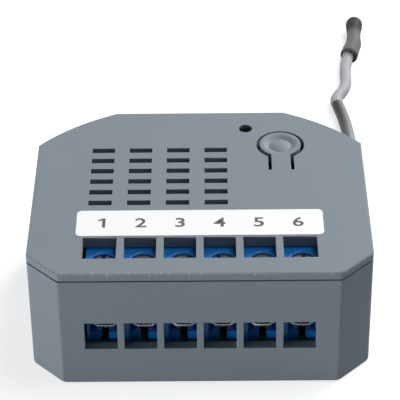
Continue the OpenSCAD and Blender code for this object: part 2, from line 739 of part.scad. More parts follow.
// Bent sheet cage with a trough-shaped jaw and a threaded top
module clamp_cage(i) color("silver") translate([pole_x(i) + block_shift, screw_y, 0]) difference() {
    translate([0, cage_d / 2, 0]) rotate([90, 0, 0]) linear_extrude(cage_d) difference() {
        cage_outline(0, cage_top);
        cage_outline(cage_t, cage_roof);
    }
    post([0, 0], screw_d + 2 * thread_gap, cage_roof - cut, cage_top + cut);
}

// Front view of a cage, its walls moved inwards
module cage_outline(inset, top) {
    half_w = cage_w / 2 - inset;
    low = cage_bottom + inset;
    leg = cage_corner - inset * (2 - sqrt(2));
    polygon([[leg - half_w, low], [half_w - leg, low], [half_w, low + leg], [half_w, top], [-half_w, top],
        [-half_w, low + leg]]);
}

module clamp_screw(i) color("gainsboro") difference() {
    at = [pole_x(i) + block_shift, screw_y];
    union() {
        post(at, screw_d, bar_top + seat_gap, head_bottom + screw_head_h / 2);
        post(at, screw_head_d, head_bottom, head_top);
    }
    translate([at[0], at[1], head_top]) rotate([0, 0, i * screw_slot_turn])
        cube([screw_slot_w, screw_head_d + cut, 2 * screw_slot_h], center = true);
}

module relay_case() color("#2b2f35") difference() {
    box([relay_x, relay_y, inside_z], [relay_x + relay_w, relay_y + relay_l, board_top + relay_h]);
    box([relay_x + relay_wall, relay_y + relay_wall, inside_z - cut],
        [relay_x + relay_w - relay_wall, relay_y + relay_l - relay_wall, board_top + relay_h - relay_wall]);
}

module relay_base() color("#2b2f35") difference() {
    box([relay_x, relay_y, board_top], [relay_x + relay_w, relay_y + relay_l, inside_z]);
    for (p = coil_pins)
        square_pin(p, coil_pin_w + hole_gap, coil_pin_w + hole_gap, board_top - cut, inside_z + cut);
    for (y = [yoke_y + yoke_t / 2, make_y + fixed_t / 2, break_y + fixed_t / 2])
        square_pin([relay_mid, y], relay_pin_w + hole_gap, yoke_t + hole_gap,
            board_top - cut, inside_z + cut);
}

// Shape turned about the coil's axis, drawn from one place along the relay to another
module coil_bar(d, from, to) {
    translate([relay_mid, to, coil_z]) rotate([90, 0, 0]) cylinder(d = d, h = to - from);
}

module relay_bobbin() color("#d8d2c0") difference() {
    union() {
        coil_bar(core_d + 2 * tube_wall, coil_y, coil_end);
        for (y = [coil_y, coil_end - flange_t])
            box([relay_mid - flange_s / 2, y, inside_z],
                [relay_mid + flange_s / 2, y + flange_t, inside_z + flange_s]);
    }
    coil_bar(core_d + fit_gap, coil_y - cut, coil_end + cut);
}

module relay_winding() color("#a5572a") difference() {
    coil_bar(winding_d, coil_y + flange_t + seat_gap, coil_end - flange_t - seat_gap);
    coil_bar(core_d + 2 * tube_wall + fit_gap, coil_y, coil_end);
}

module relay_core() color("#8d9196") {
    coil_bar(core_d, yoke_y, core_end + seat_gap);
    coil_bar(head_d, core_end, pole_face);
}

module relay_yoke() color("#8d9196") {
    difference() {
        box([relay_mid - yoke_w / 2, yoke_y, inside_z],
            [relay_mid + yoke_w / 2, yoke_y + yoke_t, yoke_z + yoke_t]);
        coil_bar(core_d + fit_gap, yoke_y - cut, yoke_y + yoke_t + cut);
    }
    box([relay_mid - yoke_w / 2, yoke_y, yoke_z],
        [relay_mid + yoke_w / 2, armature_y - seat_gap, yoke_z + yoke_t]);
    square_pin([relay_mid, yoke_y + yoke_t / 2], relay_pin_w, yoke_t, pin_end, inside_z + yoke_t);
}

module relay_armature() color("#8d9196")
    box([relay_mid - armature_w / 2, armature_y, armature_low],
        [relay_mid + armature_w / 2, armature_y + armature_t, armature_top]);

module relay_contact_blade() color("#c98d4b") {
    box([relay_mid - blade_w / 2, armature_y + armature_t, blade_z - blade_t / 2],
        [relay_mid + blade_w / 2, armature_y + armature_t + blade_l, blade_z + blade_t / 2]);
    post([relay_mid, contact_y], contact_d,
        blade_z - blade_t / 2 - contact_t, blade_z + blade_t / 2 + contact_t);
}

module relay_make_contact() color("#c98d4b") {
    post([relay_mid, contact_y], contact_d, make_face - contact_t - fixed_t, make_face);
    box([relay_mid - fixed_w / 2, make_y, make_face - contact_t - fixed_t],
        [relay_mid + fixed_w / 2, make_y + contact_d, make_face - contact_t]);
    square_pin([relay_mid, make_y + fixed_t / 2], relay_pin_w, fixed_t, pin_end, make_face - contact_t);
}

module relay_break_contact() color("#c98d4b") {
    post([relay_mid, contact_y], contact_d, break_face, break_top);
    box([relay_mid - fixed_w / 2, contact_y - contact_d / 2, break_face + contact_t],
        [relay_mid + fixed_w / 2, break_y + fixed_t, break_top]);
    square_pin([relay_mid, break_y + fixed_t / 2], relay_pin_w, fixed_t, pin_end, break_top);
}

module relay_coil_pins() color("silver") for (p = coil_pins)
    square_pin(p, coil_pin_w, coil_pin_w, pin_end, inside_z);

// Block centred on the transformer, by half sizes
module trafo_block(half) {
    translate([trafo_mid[0], trafo_mid[1], trafo_z]) cube(2 * half, center = true);
}

module transformer_core() color("#3a3a3c") difference() {
    trafo_block([trafo_w / 2, trafo_core_d / 2, (trafo_h - trafo_rise) / 2]);
    for (s = [-1, 1]) translate([0, 0, s * (trafo_window_top + trafo_leg_half) / 2])
        trafo_block([trafo_window_w / 2, trafo_core_d, (trafo_window_top - trafo_leg_half) / 2]);
}

module transformer_bobbin() color("#1d1d1f") {
    difference() {
        union() {
            trafo_block([trafo_flange_x, trafo_tube_y, trafo_tube_z]);
            for (s = [-1, 1]) translate([s * (trafo_flange_x - trafo_flange_t / 2), 0, 0])
                trafo_block([trafo_flange_t / 2, trafo_flange_y, trafo_flange_z]);
        }
        trafo_block([trafo_w, trafo_core_d / 2 + seat_gap, trafo_leg_half + seat_gap]);
    }
    // Feet beside the core, with the solder pins
    for (p = trafo_pins) {
        square_pin(p, trafo_flange_t, trafo_flange_y - trafo_core_d / 2 - fit_gap,
            board_top, trafo_z);
        post(p, trafo_pin_d, pin_end, board_top + seat_gap);
    }
}

module transformer_winding() color("#c9a227") difference() {
    trafo_block([trafo_flange_x - trafo_flange_t - seat_gap, trafo_flange_y - fit_gap,
        trafo_flange_z - fit_gap]);
    trafo_block([trafo_w, trafo_tube_y + seat_gap, trafo_tube_z + seat_gap]);
}

// Upright electrolytic can with a crimp groove and two leads
module can_capacitor(at, d, h, leads) {
    groove_r = 0.3;
    difference() {
        post(at, d, board_top, board_top + h);
        translate([at[0], at[1], board_top + 2 * lead_d + groove_r]) rotate_extrude()
            translate([d / 2, 0]) circle(r = groove_r);
    }
    for (p = leads) post(p, lead_d, pin_end, board_top + lead_d);
}

module bulk_capacitor() color("#26324a")
    can_capacitor(bulk_pos, bulk_d, bulk_h,
        [for (s = [-1, 1]) bulk_pos + [s * bulk_pitch / 2, 0]]);

module output_capacitor() color("#26324a")
    can_capacitor(output_pos, output_d, output_h,
        [for (s = [-1, 1]) output_pos + [0, s * output_pitch / 2]]);

module varistor() color("#2f6fa8") {
    disc_z = board_top + varistor_rise + varistor_d / 2;
    translate([varistor_pos[0] - varistor_t / 2, varistor_pos[1], disc_z]) rotate([0, 90, 0])
        cylinder(d = varistor_d, h = varistor_t);
    for (s = [-1, 1])
        post(varistor_pos + [0, s * varistor_pitch / 2], lead_d, pin_end, disc_z);
}

module fuse_resistor() color("#b9a98a") {
    low = board_top + fuse_rise;
    loop_z = low + fuse_l + lead_d;
    post(fuse_pos, fuse_d, low, low + fuse_l);
    post(fuse_pos, lead_d, pin_end, loop_z);
    post(fuse_pos - [fuse_pitch, 0], lead_d, pin_end, loop_z);
    translate([fuse_pos[0] - fuse_pitch, fuse_pos[1], loop_z]) rotate([0, 90, 0])
        cylinder(d = lead_d, h = fuse_pitch);
}

// Moulded chip with two rows of flat legs
module chip(at, size, legs) {
    translate([at[0] - size[0] / 2, at[1] - size[1] / 2, board_top + chip_leg_w])
        cube(size - [0, 0, chip_leg_w]);
    for (i = [0:legs - 1], s = [-1, 1]) {
        x = at[0] + (i - (legs - 1) / 2) * size[0] / legs;
        translate([x, at[1] + s * size[1] / 2, board_top + size[2] / 4])
            cube([chip_leg_w, 2 * chip_leg_l, size[2] / 2], center = true);
    }
}

module rectifier() color("#232326") chip(rectifier_pos, rectifier_size, 2);

module power_controller() color("#232326") chip(controller_pos, controller_size, 4);

module radio_board() color("#1c4d80")
    translate([radio_pos[0], radio_pos[1], board_top]) cube([radio_w, radio_d, radio_t]);

module radio_shield() color("silver")
    translate([radio_pos[0] + shield_inset, radio_pos[1] + radio_d / 3, board_top + radio_t])
        cube([radio_w - 2 * shield_inset, radio_d * 2 / 3 - shield_inset, shield_h]);

module chip_parts() color("#4a4038") for (i = [0, 1], j = [0, 1])
    translate([small_pos[0] + (i - 0.5) * small_pitch[0] - small_size[0] / 2,
        small_pos[1] + j * small_pitch[1], board_top]) cube(small_size);

module tact_switch_body() color("#222326") {
    difference() {
        square_pin([button_x, button_y], tact_s, tact_s, board_top, board_top + tact_h);
        post([button_x, button_y], plunger_d + 2 * fit_gap,
            board_top + tact_h / 2, board_top + tact_h + cut);
    }
    for (sx = [-1, 1], sy = [-1, 1])
        post([button_x + sx * (tact_s / 2 - tact_leg_w), button_y + sy * tact_s / 4], tact_leg_w,
            pin_end, board_top + tact_leg_w);
}

// Room under the plunger for its travel
module tact_switch_plunger() color("#111113")
    post([button_x, button_y], plunger_d, board_top + tact_h / 2 + 4 * pusher_gap, plunger_top);

module status_led() color("#d9e6d2") {
    body_low = led_top - led_body_l;
    post([led_x, led_y], led_d, body_low, led_top - led_d / 2);
    translate([led_x, led_y, led_top - led_d / 2]) sphere(d = led_d);
    for (s = [-1, 1])
        square_pin([led_x + s * led_lead_x, led_y], led_lead_w, led_lead_w, pin_end, body_low + led_lead_w);
}

module antenna_feed() color("#c9cbcd")
    at_exit(rear_arc_r - feed_in) cylinder(d = wire_d, h = feed_in - exit_gap);

module antenna_wire() color("#c9cbcd") {
    rings = len(route);
    points = [for (i = [0:rings - 1]) each route_ring(i)];
    walls = [for (i = [0:rings - 2], k = [0:wire_sides - 1])
        let (a = i * wire_sides + k, b = i * wire_sides + (k + 1) % wire_sides)
        each [[a, b, b + wire_sides], [a, b + wire_sides, a + wire_sides]]];
    ends = [[for (k = [wire_sides - 1:-1:0]) k],
        [for (k = [0:wire_sides - 1]) (rings - 1) * wire_sides + k]];
    polyhedron(points, concat(walls, ends));
}

// Sleeve shrunk over the wire's end: an open mouth, a bend, a waist and a closed bulb
module antenna_cap() color("#33363a")
    translate(route[len(route) - 1]) rotate([0, 0, cap_turn]) rotate([0, 90, 0])
        translate([0, 0, cap_tip_gap - cap_bore_l]) difference() {
            union() {
                cylinder(d1 = cap_mouth_d, d2 = cap_bend_d, h = cap_mouth_l);
                translate([0, 0, cap_mouth_l]) {
                    sphere(d = cap_bend_d);
                    rotate([-cap_bend, 0, 0]) cap_end();
                }
            }
            translate([0, 0, -cut])
                cylinder(d1 = cap_bore_d + cap_flare * cut, d2 = cap_end_d, h = cap_bore_l + cut);
        }

// End cap beyond its bend
module cap_end() {
    cylinder(d1 = cap_bend_d, d2 = cap_waist_d, h = cap_neck_l);
    translate([0, 0, cap_neck_l]) cylinder(d1 = cap_waist_d, d2 = cap_bulb_d, h = cap_bulb_l);
    translate([0, 0, cap_neck_l + cap_bulb_l]) sphere(d = cap_bulb_d);
}

base_shell();
top_cover();
button_tongue();
terminal_label();
circuit_board();
terminal_block();
terminal_contacts();
for (i = [0:poles - 1]) {
    clamp_cage(i);
    clamp_screw(i);
}
relay_case();
relay_base();
relay_bobbin();
relay_winding();
relay_core();
relay_yoke();
relay_armature();
relay_contact_blade();
relay_make_contact();
relay_break_contact();
relay_coil_pins();
transformer_bobbin();
transformer_winding();
transformer_core();
bulk_capacitor();
output_capacitor();
varistor();
fuse_resistor();
rectifier();
power_controller();
radio_board();
radio_shield();
chip_parts();
tact_switch_body();
tact_switch_plunger();
status_led();
antenna_feed();
antenna_wire();
antenna_cap();
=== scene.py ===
"""Looks of a flush-mounted radio relay module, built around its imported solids.

The wire windows face -Y, +Z is up, and every length is in metres."""

import json
import math

import bmesh
import bpy
from mathutils import Matrix, Vector

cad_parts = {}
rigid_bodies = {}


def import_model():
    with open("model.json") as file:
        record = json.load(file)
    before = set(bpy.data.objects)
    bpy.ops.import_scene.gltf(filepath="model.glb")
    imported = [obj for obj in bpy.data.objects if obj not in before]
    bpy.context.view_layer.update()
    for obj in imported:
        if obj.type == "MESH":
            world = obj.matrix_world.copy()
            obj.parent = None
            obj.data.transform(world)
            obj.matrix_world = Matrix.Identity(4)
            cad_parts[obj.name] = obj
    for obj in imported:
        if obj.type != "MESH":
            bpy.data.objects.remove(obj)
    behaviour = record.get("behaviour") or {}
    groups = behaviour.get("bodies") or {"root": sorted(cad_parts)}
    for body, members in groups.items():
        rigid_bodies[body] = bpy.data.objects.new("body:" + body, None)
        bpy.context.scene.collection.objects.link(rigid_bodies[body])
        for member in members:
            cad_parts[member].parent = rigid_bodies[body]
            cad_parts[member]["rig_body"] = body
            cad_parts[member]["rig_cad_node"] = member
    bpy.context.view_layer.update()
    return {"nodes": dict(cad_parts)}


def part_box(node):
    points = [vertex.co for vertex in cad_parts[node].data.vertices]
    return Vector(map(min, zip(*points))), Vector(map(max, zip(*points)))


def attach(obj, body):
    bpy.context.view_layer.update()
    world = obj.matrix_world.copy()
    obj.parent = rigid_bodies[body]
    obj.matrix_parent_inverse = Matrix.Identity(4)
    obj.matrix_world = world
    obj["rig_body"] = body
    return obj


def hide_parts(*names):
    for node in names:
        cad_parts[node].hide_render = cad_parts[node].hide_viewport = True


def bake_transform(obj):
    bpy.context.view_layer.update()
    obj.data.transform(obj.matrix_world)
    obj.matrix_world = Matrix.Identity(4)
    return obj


bl_info = {
    "name": "Radio Relay Module",
    "version": (1, 0, 0),
    "blender": (4, 5, 0),
    "location": "3D View > Sidebar > Relay Module",
    "description": "Dresses the solids of a flush-mounted radio relay module",
    "category": "Add Mesh",
}

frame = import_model()

MM = 0.001
POLES = 6
POLE_PITCH = 5 * MM
THREAD_PITCH = 0.45 * MM

# Where the antenna wire leaves the rear wall, and its route from there: steps along X and Y, and height
# over the floor, in millimetres
WIRE_EXIT = (18.501, 13.482)
WIRE_ROUTE = [
    (0, 0, 6.05), (1, 1.15, 6.05), (1.95, 2.45, 5.8), (2.7, 4, 5.34), (3.25, 5.9, 4.57), (3.65, 8.1, 3.6),
    (3.85, 10.6, 2.58), (3.95, 13.4, 1.66), (3.95, 16.4, 1.15), (3.9, 19.6, 1), (3.75, 22.8, 1),
    (3.5, 26, 1), (3.1, 29.2, 1), (2.6, 32, 1), (2.45, 33.4, 0.97), (2.9, 34.7, 0.95), (3.65, 36.1, 0.95),
    (4.15, 37.8, 0.95), (4.3, 39.6, 0.95), (4.35, 41.4, 0.95), (4.55, 43.5, 1), (4.99, 45.81, 1.2),
    (5.94, 48.72, 1.45)]
# Steps of the route between which a thicker sleeve covers the wire
SLEEVED_STEPS = range(1, 14)
# Shallow arc that this part of the wire follows over the floor: its furthest point to the right, and by how
# much X falls off from there for each squared millimetre along Y
# The sheath's painted shade lies left of this arc and its painted highlight right of it
SLEEVE_ARC = (WIRE_EXIT[0] + 3.95, WIRE_EXIT[1] + 15.0)
SLEEVE_FALL = 0.0047

# Points of a solid's copy that are closer than this are one, faces that turn by less are flat, and edges
# that turn by more are sharp
MERGE_WITHIN = 0.001 * MM
FLAT_WITHIN = math.radians(0.2)
SHARP_FROM = math.radians(30)

# Settings that nodes share: a mix of two colours with its sockets, and a range that eases in and out
COLOUR_MIX = {"data_type": "RGBA"}
SHARE, FIRST, SECOND, RESULT = 0, 6, 7, 2
EASED = {"interpolation_type": "SMOOTHSTEP"}


def linear(code):
    """Linear colour of an sRGB hex value."""
    parts = [int(code[i:i + 2], 16) / 255 for i in (1, 3, 5)]
    return [p / 12.92 if p <= 0.04045 else ((p + 0.055) / 1.055) ** 2.4 for p in parts]


def length_prop(name, description, default):
    """Length that a user may change."""
    return bpy.props.FloatProperty(name=name, description=description, default=default, min=0.0,
                                   unit="LENGTH", precision=6)


def colour_prop(name, description, code):
    """Colour that a user may change, from its sRGB hex value."""
    return bpy.props.FloatVectorProperty(name=name, description=description, default=linear(code), size=3,
                                         min=0.0, max=1.0, subtype="COLOR")


class RelayModuleSizes(bpy.types.PropertyGroup):
    """Sizes that only the looks use"""
    casing_edge: length_prop("Casing edges", "Rounding of the casing's moulded edges", 0.07 * MM)
    casing_corner: length_prop("Casing corners", "Rounding of the casing's upright corners at the front",
                               0.45 * MM)
    block_edge: length_prop("Block edges", "Rounding of the terminal block's moulded edges", 0.05 * MM)
    metal_edge: length_prop("Metal edges", "Rounding of the edges of screws and cages", 0.05 * MM)
    label_thick: length_prop("Label thickness", "Thickness of the paper label", 0.085 * MM)
    digit_height: length_prop("Number height", "Height of the numbers on the label", 1.95 * MM)
    digit_bold: length_prop("Number weight", "How far the strokes of the numbers are thickened", 0.03 * MM)
    ink_thick: length_prop("Ink thickness", "Height of the printed numbers over the label", 0.012 * MM)
    wire_diameter: length_prop("Antenna diameter", "Diameter of the antenna wire over its sheath", 1.8 * MM)
    sleeve_thick: length_prop("Sleeve thickness", "Thickness of the sleeve on the wire near the casing",
                              0.05 * MM)


class RelayModuleColours(bpy.types.PropertyGroup):
    """Colours of the pieces"""
    casing: colour_prop("Casing", "Grey of the moulded casing", "#7F878F")
    label: colour_prop("Label", "White of the paper label", "#F9F9F8")
    ink: colour_prop("Ink", "Grey of the printed numbers", "#4A4D50")
    block: colour_prop("Terminal block", "Blue of the terminal block", "#0B60A4")
    # Painted shade: screws and contacts have the same zinc plating as the cages, but this tone is darker, to
    # stand in for the dark surroundings they reflect
    plated: colour_prop("Plated steel", "Tone of screws and contacts", "#8A8D90")
    cage: colour_prop("Clamp cages", "Tone of the clamp cages", "#CFD2D4")
    sheath: colour_prop("Antenna sheath", "Grey of the antenna's sheath", "#A9A9AB")
    sleeve: colour_prop("Antenna sleeve", "Grey of the sleeve on the antenna's end", "#67666A")
    board: colour_prop("Circuit board", "Green of the solder mask", "#1F5A36")


def node(tree, kind, settings=None, links=None):
    """Adds a node and sets its properties. Inputs take values, outputs, or nodes by their first output."""
    made = tree.nodes.new(kind)
    for name, value in (settings or {}).items():
        setattr(made, name, value)
    for name, value in (links or {}).items():
        if isinstance(value, bpy.types.Node):
            value = value.outputs[0]
        if isinstance(value, bpy.types.NodeSocket):
            tree.links.new(value, made.inputs[name])
        else:
            made.inputs[name].default_value = value
    return made


def shade(colour, share):
    """Colour with four numbers, darkened or lightened by a share."""
    return [min(1.0, c * share) for c in colour[:3]] + [1.0]


class Finish:
    """A material whose tone wanders by a spread from patch to patch, with a grain of some size and depth that
    takes it from the least to the most roughness. Details join its tone, its gloss and its height, which
    counts in depths of the grain."""

    def __init__(self, name, colour, spread, patch, grain, depth, rough, values):
        self.material = bpy.data.materials.new(name)
        self.material.use_nodes = True
        self.tree = self.material.node_tree
        self.shader = self.tree.nodes["Principled BSDF"]
        for socket, value in values.items():
            self.shader.inputs[socket].default_value = value
        self.place = node(self.tree, "ShaderNodeTexCoord").outputs["Object"]
        clouds = node(self.tree, "ShaderNodeTexNoise", links={
            "Vector": self.place, "Scale": 1 / patch, "Detail": 3.0})
        self.fine = node(self.tree, "ShaderNodeTexNoise", links={
            "Vector": self.place, "Scale": 1 / grain, "Detail": 2.0}).outputs[0]
        self.tone = node(self.tree, "ShaderNodeMix", COLOUR_MIX, {
            SHARE: clouds, FIRST: shade(colour, 1 - spread),
            SECOND: shade(colour, 1 + spread)}).outputs[RESULT]
        self.gloss = node(self.tree, "ShaderNodeMapRange", links={
            "Value": self.fine, "From Min": 0.3, "From Max": 0.7,
            "To Min": rough[0], "To Max": rough[1]}).outputs[0]
        self.height = self.fine
        self.depth = depth

    def done(self):
        """Joins tone, gloss and grain to the shader, and returns the material."""
        bump = node(self.tree, "ShaderNodeBump", links={
            "Height": self.height, "Strength": 1.0, "Distance": self.depth})
        self.tree.links.new(self.tone, self.shader.inputs["Base Color"])
        self.tree.links.new(self.gloss, self.shader.inputs["Roughness"])
        self.tree.links.new(bump.outputs[0], self.shader.inputs["Normal"])
        return self.material


def matt_abs(colour):
    """ABS moulded in a spark-eroded tool: dull grey with a faint haze of tone, and small pale scuffs
    where the front edge of the cover has been rubbed, more of them at the left. The grain is drawn at
    0.3 mm, so that it shows."""
    look = Finish("matt moulded ABS", colour, spread=0.035, patch=9 * MM, grain=0.3 * MM, depth=0.003 * MM,
                  rough=(0.5, 0.62), values={"IOR": 1.53, "Specular IOR Level": 0.2})
    tree = look.tree
    low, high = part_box("top_cover")
    rubbed_depth, rubbed_height, scuff, paler = 0.4 * MM, 0.3 * MM, 0.45 * MM, 1.6
    x, y, z = node(tree, "ShaderNodeSeparateXYZ", links={0: look.place}).outputs
    near_front = node(tree, "ShaderNodeMath", {"operation": "LESS_THAN"}, {0: y, 1: low.y + rubbed_depth})
    near_top = node(tree, "ShaderNodeMath", {"operation": "GREATER_THAN"}, {0: z, 1: high.z - rubbed_height})
    on_edge = node(tree, "ShaderNodeMath", {"operation": "MULTIPLY"}, {0: near_front, 1: near_top})
    specks = node(tree, "ShaderNodeTexNoise", links={"Vector": look.place, "Scale": 1 / scuff, "Detail": 3.0})
    least = node(tree, "ShaderNodeMapRange", links={
        "Value": x, "From Min": low.x, "From Max": high.x, "To Min": 0.56, "To Max": 0.72})
    worn = node(tree, "ShaderNodeMath", {"operation": "GREATER_THAN"}, {0: specks, 1: least})
    scuffed = node(tree, "ShaderNodeMath", {"operation": "MULTIPLY"}, {0: on_edge, 1: worn})
    look.tone = node(tree, "ShaderNodeMix", COLOUR_MIX, {
        SHARE: scuffed, FIRST: look.tone, SECOND: shade(colour, paler)}).outputs[RESULT]
    return look.done()


def label_paper(colour):
    """Coated paper: clean white, faintly fibrous, with a soft sheen. Fibres are drawn 0.25 mm wide."""
    return Finish("coated label paper", colour, spread=0.012, patch=3 * MM, grain=0.25 * MM, depth=0.002 * MM,
                  rough=(0.38, 0.5), values={"IOR": 1.5}).done()


def print_ink(colour):
    """Thermal print: dark grey, a little uneven where it lies on the fibres."""
    return Finish("printed ink", colour, spread=0.12, patch=0.3 * MM, grain=0.15 * MM, depth=0.001 * MM,
                  rough=(0.5, 0.65), values={"IOR": 1.5}).done()


def blue_polyamide(colour):
    """Moulded polyamide: saturated blue with a satin shine and slight flow marks."""
    return Finish("moulded polyamide", colour, spread=0.08, patch=2.5 * MM, grain=0.4 * MM, depth=0.003 * MM,
                  rough=(0.3, 0.42), values={"IOR": 1.53, "Specular IOR Level": 0.3}).done()


def zinc_steel(colour):
    """Zinc-plated steel: bright grey metal, rolled lines along the sheet, dulled in small patches."""
    look = Finish("zinc-plated steel", colour, spread=0.06, patch=1.2 * MM, grain=0.2 * MM, depth=0.002 * MM,
                  rough=(0.22, 0.38), values={"Metallic": 1.0})
    line_width, line_stretch = 0.12 * MM, 0.08
    rolled = node(look.tree, "ShaderNodeMapping", links={
        "Vector": look.place, "Scale": (1.0, line_stretch, 1.0)})
    lines = node(look.tree, "ShaderNodeTexNoise", links={
        "Vector": rolled, "Scale": 1 / line_width, "Detail": 2.0})
    look.height = node(look.tree, "ShaderNodeMath", {"operation": "ADD"}, {0: look.fine, 1: lines})
    return look.done()


def threaded_steel(colour, shank_top):
    """Zinc-plated screw steel, painted darker than the cages' plating to stand in for the dark surroundings
    its heads reflect, and a shank ringed by a thread of 0.45 mm pitch.
    """
    look = Finish("zinc-plated screw steel", colour, spread=0.08, patch=0.9 * MM, grain=0.2 * MM,
                  depth=0.002 * MM, rough=(0.24, 0.4), values={"Metallic": 1.0})
    tree = look.tree
    thread_height = 30.0
    _, _, z = node(tree, "ShaderNodeSeparateXYZ", links={0: look.place}).outputs
    phase = node(tree, "ShaderNodeMath", {"operation": "MULTIPLY"}, {0: z, 1: 2 * math.pi / THREAD_PITCH})
    turns = node(tree, "ShaderNodeMath", {"operation": "SINE"}, {0: phase})
    on_shank = node(tree, "ShaderNodeMath", {"operation": "LESS_THAN"}, {0: z, 1: shank_top})
    thread = node(tree, "ShaderNodeMath", {"operation": "MULTIPLY"}, {0: turns, 1: on_shank})
    look.height = node(tree, "ShaderNodeMath", {"operation": "MULTIPLY_ADD"}, {
        0: thread, 1: thread_height, 2: look.fine})
    return look.done()


def pvc_sheath(colour, sleeve_end):
    """Extruded PVC over fine strands: dull pale grey, slightly soiled in long smears, and covered near the
    casing by a second, glossier sleeve that is darker towards its end, with painted shade down its left
    side and a painted highlight down its right."""
    look = Finish("extruded PVC sheath", colour, spread=0.12, patch=2.2 * MM, grain=0.3 * MM,
                  depth=0.002 * MM, rough=(0.55, 0.7), values={"IOR": 1.53, "Specular IOR Level": 0.3})
    tree = look.tree
    fade_from, fade_to = sleeve_end - 14 * MM, sleeve_end - 3 * MM
    # Across the wire: painted shade on its left side, painted highlight on its right
    left_side, right_side, less_rough = -0.65 * MM, 0.75 * MM, 0.3
    x, y, _ = node(tree, "ShaderNodeSeparateXYZ", links={0: look.place}).outputs
    covered = node(tree, "ShaderNodeMath", {"operation": "LESS_THAN"}, {0: y, 1: sleeve_end})
    darker_towards_end = node(tree, "ShaderNodeMapRange", EASED, {
        "Value": y, "From Min": fade_from, "From Max": fade_to})
    # How far a point lies left or right of the arc that the wire follows; this places the painted shade and
    # highlight
    arc_x = node(tree, "ShaderNodeMath", {"operation": "SUBTRACT"}, {0: x, 1: SLEEVE_ARC[0] * MM})
    arc_y = node(tree, "ShaderNodeMath", {"operation": "SUBTRACT"}, {0: y, 1: SLEEVE_ARC[1] * MM})
    squared = node(tree, "ShaderNodeMath", {"operation": "MULTIPLY"}, {0: arc_y, 1: arc_y})
    off_middle = node(tree, "ShaderNodeMath", {"operation": "MULTIPLY_ADD"}, {
        0: squared, 1: SLEEVE_FALL / MM, 2: arc_x})
    right = node(tree, "ShaderNodeMapRange", EASED, {
        "Value": off_middle, "From Min": left_side, "From Max": right_side})
    # Painted shade on the sleeve's left and painted highlight on its right; the sleeve is lighter near the
    # casing and darker towards its end
    near_casing = node(tree, "ShaderNodeMix", COLOUR_MIX, {
        SHARE: right, FIRST: shade(colour, 0.35), SECOND: shade(colour, 0.75)}).outputs[RESULT]
    near_end = node(tree, "ShaderNodeMix", COLOUR_MIX, {
        SHARE: right, FIRST: shade(colour, 0.02), SECOND: shade(colour, 0.5)}).outputs[RESULT]
    sleeve = node(tree, "ShaderNodeMix", COLOUR_MIX, {
        SHARE: darker_towards_end, FIRST: near_casing, SECOND: near_end}).outputs[RESULT]
    look.tone = node(tree, "ShaderNodeMix", COLOUR_MIX, {
        SHARE: covered, FIRST: look.tone, SECOND: sleeve}).outputs[RESULT]
    look.gloss = node(tree, "ShaderNodeMath", {"operation": "MULTIPLY_ADD"}, {
        0: covered, 1: -less_rough, 2: look.gloss}).outputs[0]
    return look.done()


def shrunk_sleeve(colour):
    """Heat-shrunk polyolefin: dull grey with small puckers about a millimetre across, darker at its closed
    end, where it is drawn thickest."""
    look = Finish("heat-shrunk sleeve", colour, spread=0.1, patch=1.6 * MM, grain=0.9 * MM, depth=0.02 * MM,
                  rough=(0.55, 0.7), values={"IOR": 1.49, "Specular IOR Level": 0.2})
    _, y, _ = node(look.tree, "ShaderNodeSeparateXYZ", links={0: look.place}).outputs
    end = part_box("antenna_cap")[1].y
    fade_from, fade_to, darker = end - 5.2 * MM, end - 3.2 * MM, 0.25
    closed = node(look.tree, "ShaderNodeMapRange", EASED, {
        "Value": y, "From Min": fade_from, "From Max": fade_to})
    look.tone = node(look.tree, "ShaderNodeMix", COLOUR_MIX, {
        SHARE: closed, FIRST: look.tone, SECOND: shade(colour, darker)}).outputs[RESULT]
    return look.done()


def solder_mask(name, colour):
    """Solder mask over copper: glossy, with raised tracks on a 1.27 mm grid that show through lighter."""
    look = Finish(name, colour, spread=0.06, patch=5 * MM, grain=0.4 * MM, depth=0.004 * MM,
                  rough=(0.22, 0.34), values={"IOR": 1.55})
    tree = look.tree
    track_pitch, track_from, track_height, lighter = 1.27 * MM, 0.55, 8.0, 1.5
    run_length, run_from = 6 * MM, 0.5
    x, y, _ = node(tree, "ShaderNodeSeparateXYZ", links={0: look.place}).outputs
    runs = node(tree, "ShaderNodeTexNoise", links={
        "Vector": look.place, "Scale": 1 / run_length, "Detail": 0.0})
    in_run = node(tree, "ShaderNodeMath", {"operation": "GREATER_THAN"}, {0: runs, 1: run_from})
    tracks = {}
    for way, across in enumerate((y, x)):
        phase = node(tree, "ShaderNodeMath", {"operation": "MULTIPLY"}, {
            0: across, 1: 2 * math.pi / track_pitch})
        wave = node(tree, "ShaderNodeMath", {"operation": "SINE"}, {0: phase})
        crest = node(tree, "ShaderNodeMath", {"operation": "GREATER_THAN"}, {0: wave, 1: track_from})
        tracks[way] = node(tree, "ShaderNodeMath", {"operation": "MULTIPLY"}, {0: crest, 1: in_run})
    copper = node(tree, "ShaderNodeMath", {"operation": "MAXIMUM"}, tracks)
    look.tone = node(tree, "ShaderNodeMix", COLOUR_MIX, {
        SHARE: copper, FIRST: look.tone, SECOND: shade(colour, lighter)}).outputs[RESULT]
    look.height = node(tree, "ShaderNodeMath", {"operation": "MULTIPLY_ADD"}, {
        0: copper, 1: track_height, 2: look.fine})
    return look.done()


def moulded(name, colour, rough=(0.4, 0.55)):
    """Plain technical moulding: even colour with a satin grain and faint flow marks."""
    return Finish(name, colour, spread=0.08, patch=3 * MM, grain=0.3 * MM, depth=0.004 * MM, rough=rough,
                  values={"IOR": 1.53}).done()


def sheet_metal(name, colour, rough):
    """Bare or plated metal: fine grain, dulled in patches."""
    return Finish(name, colour, spread=0.08, patch=1.5 * MM, grain=0.15 * MM, depth=0.002 * MM, rough=rough,
                  values={"Metallic": 1.0}).done()


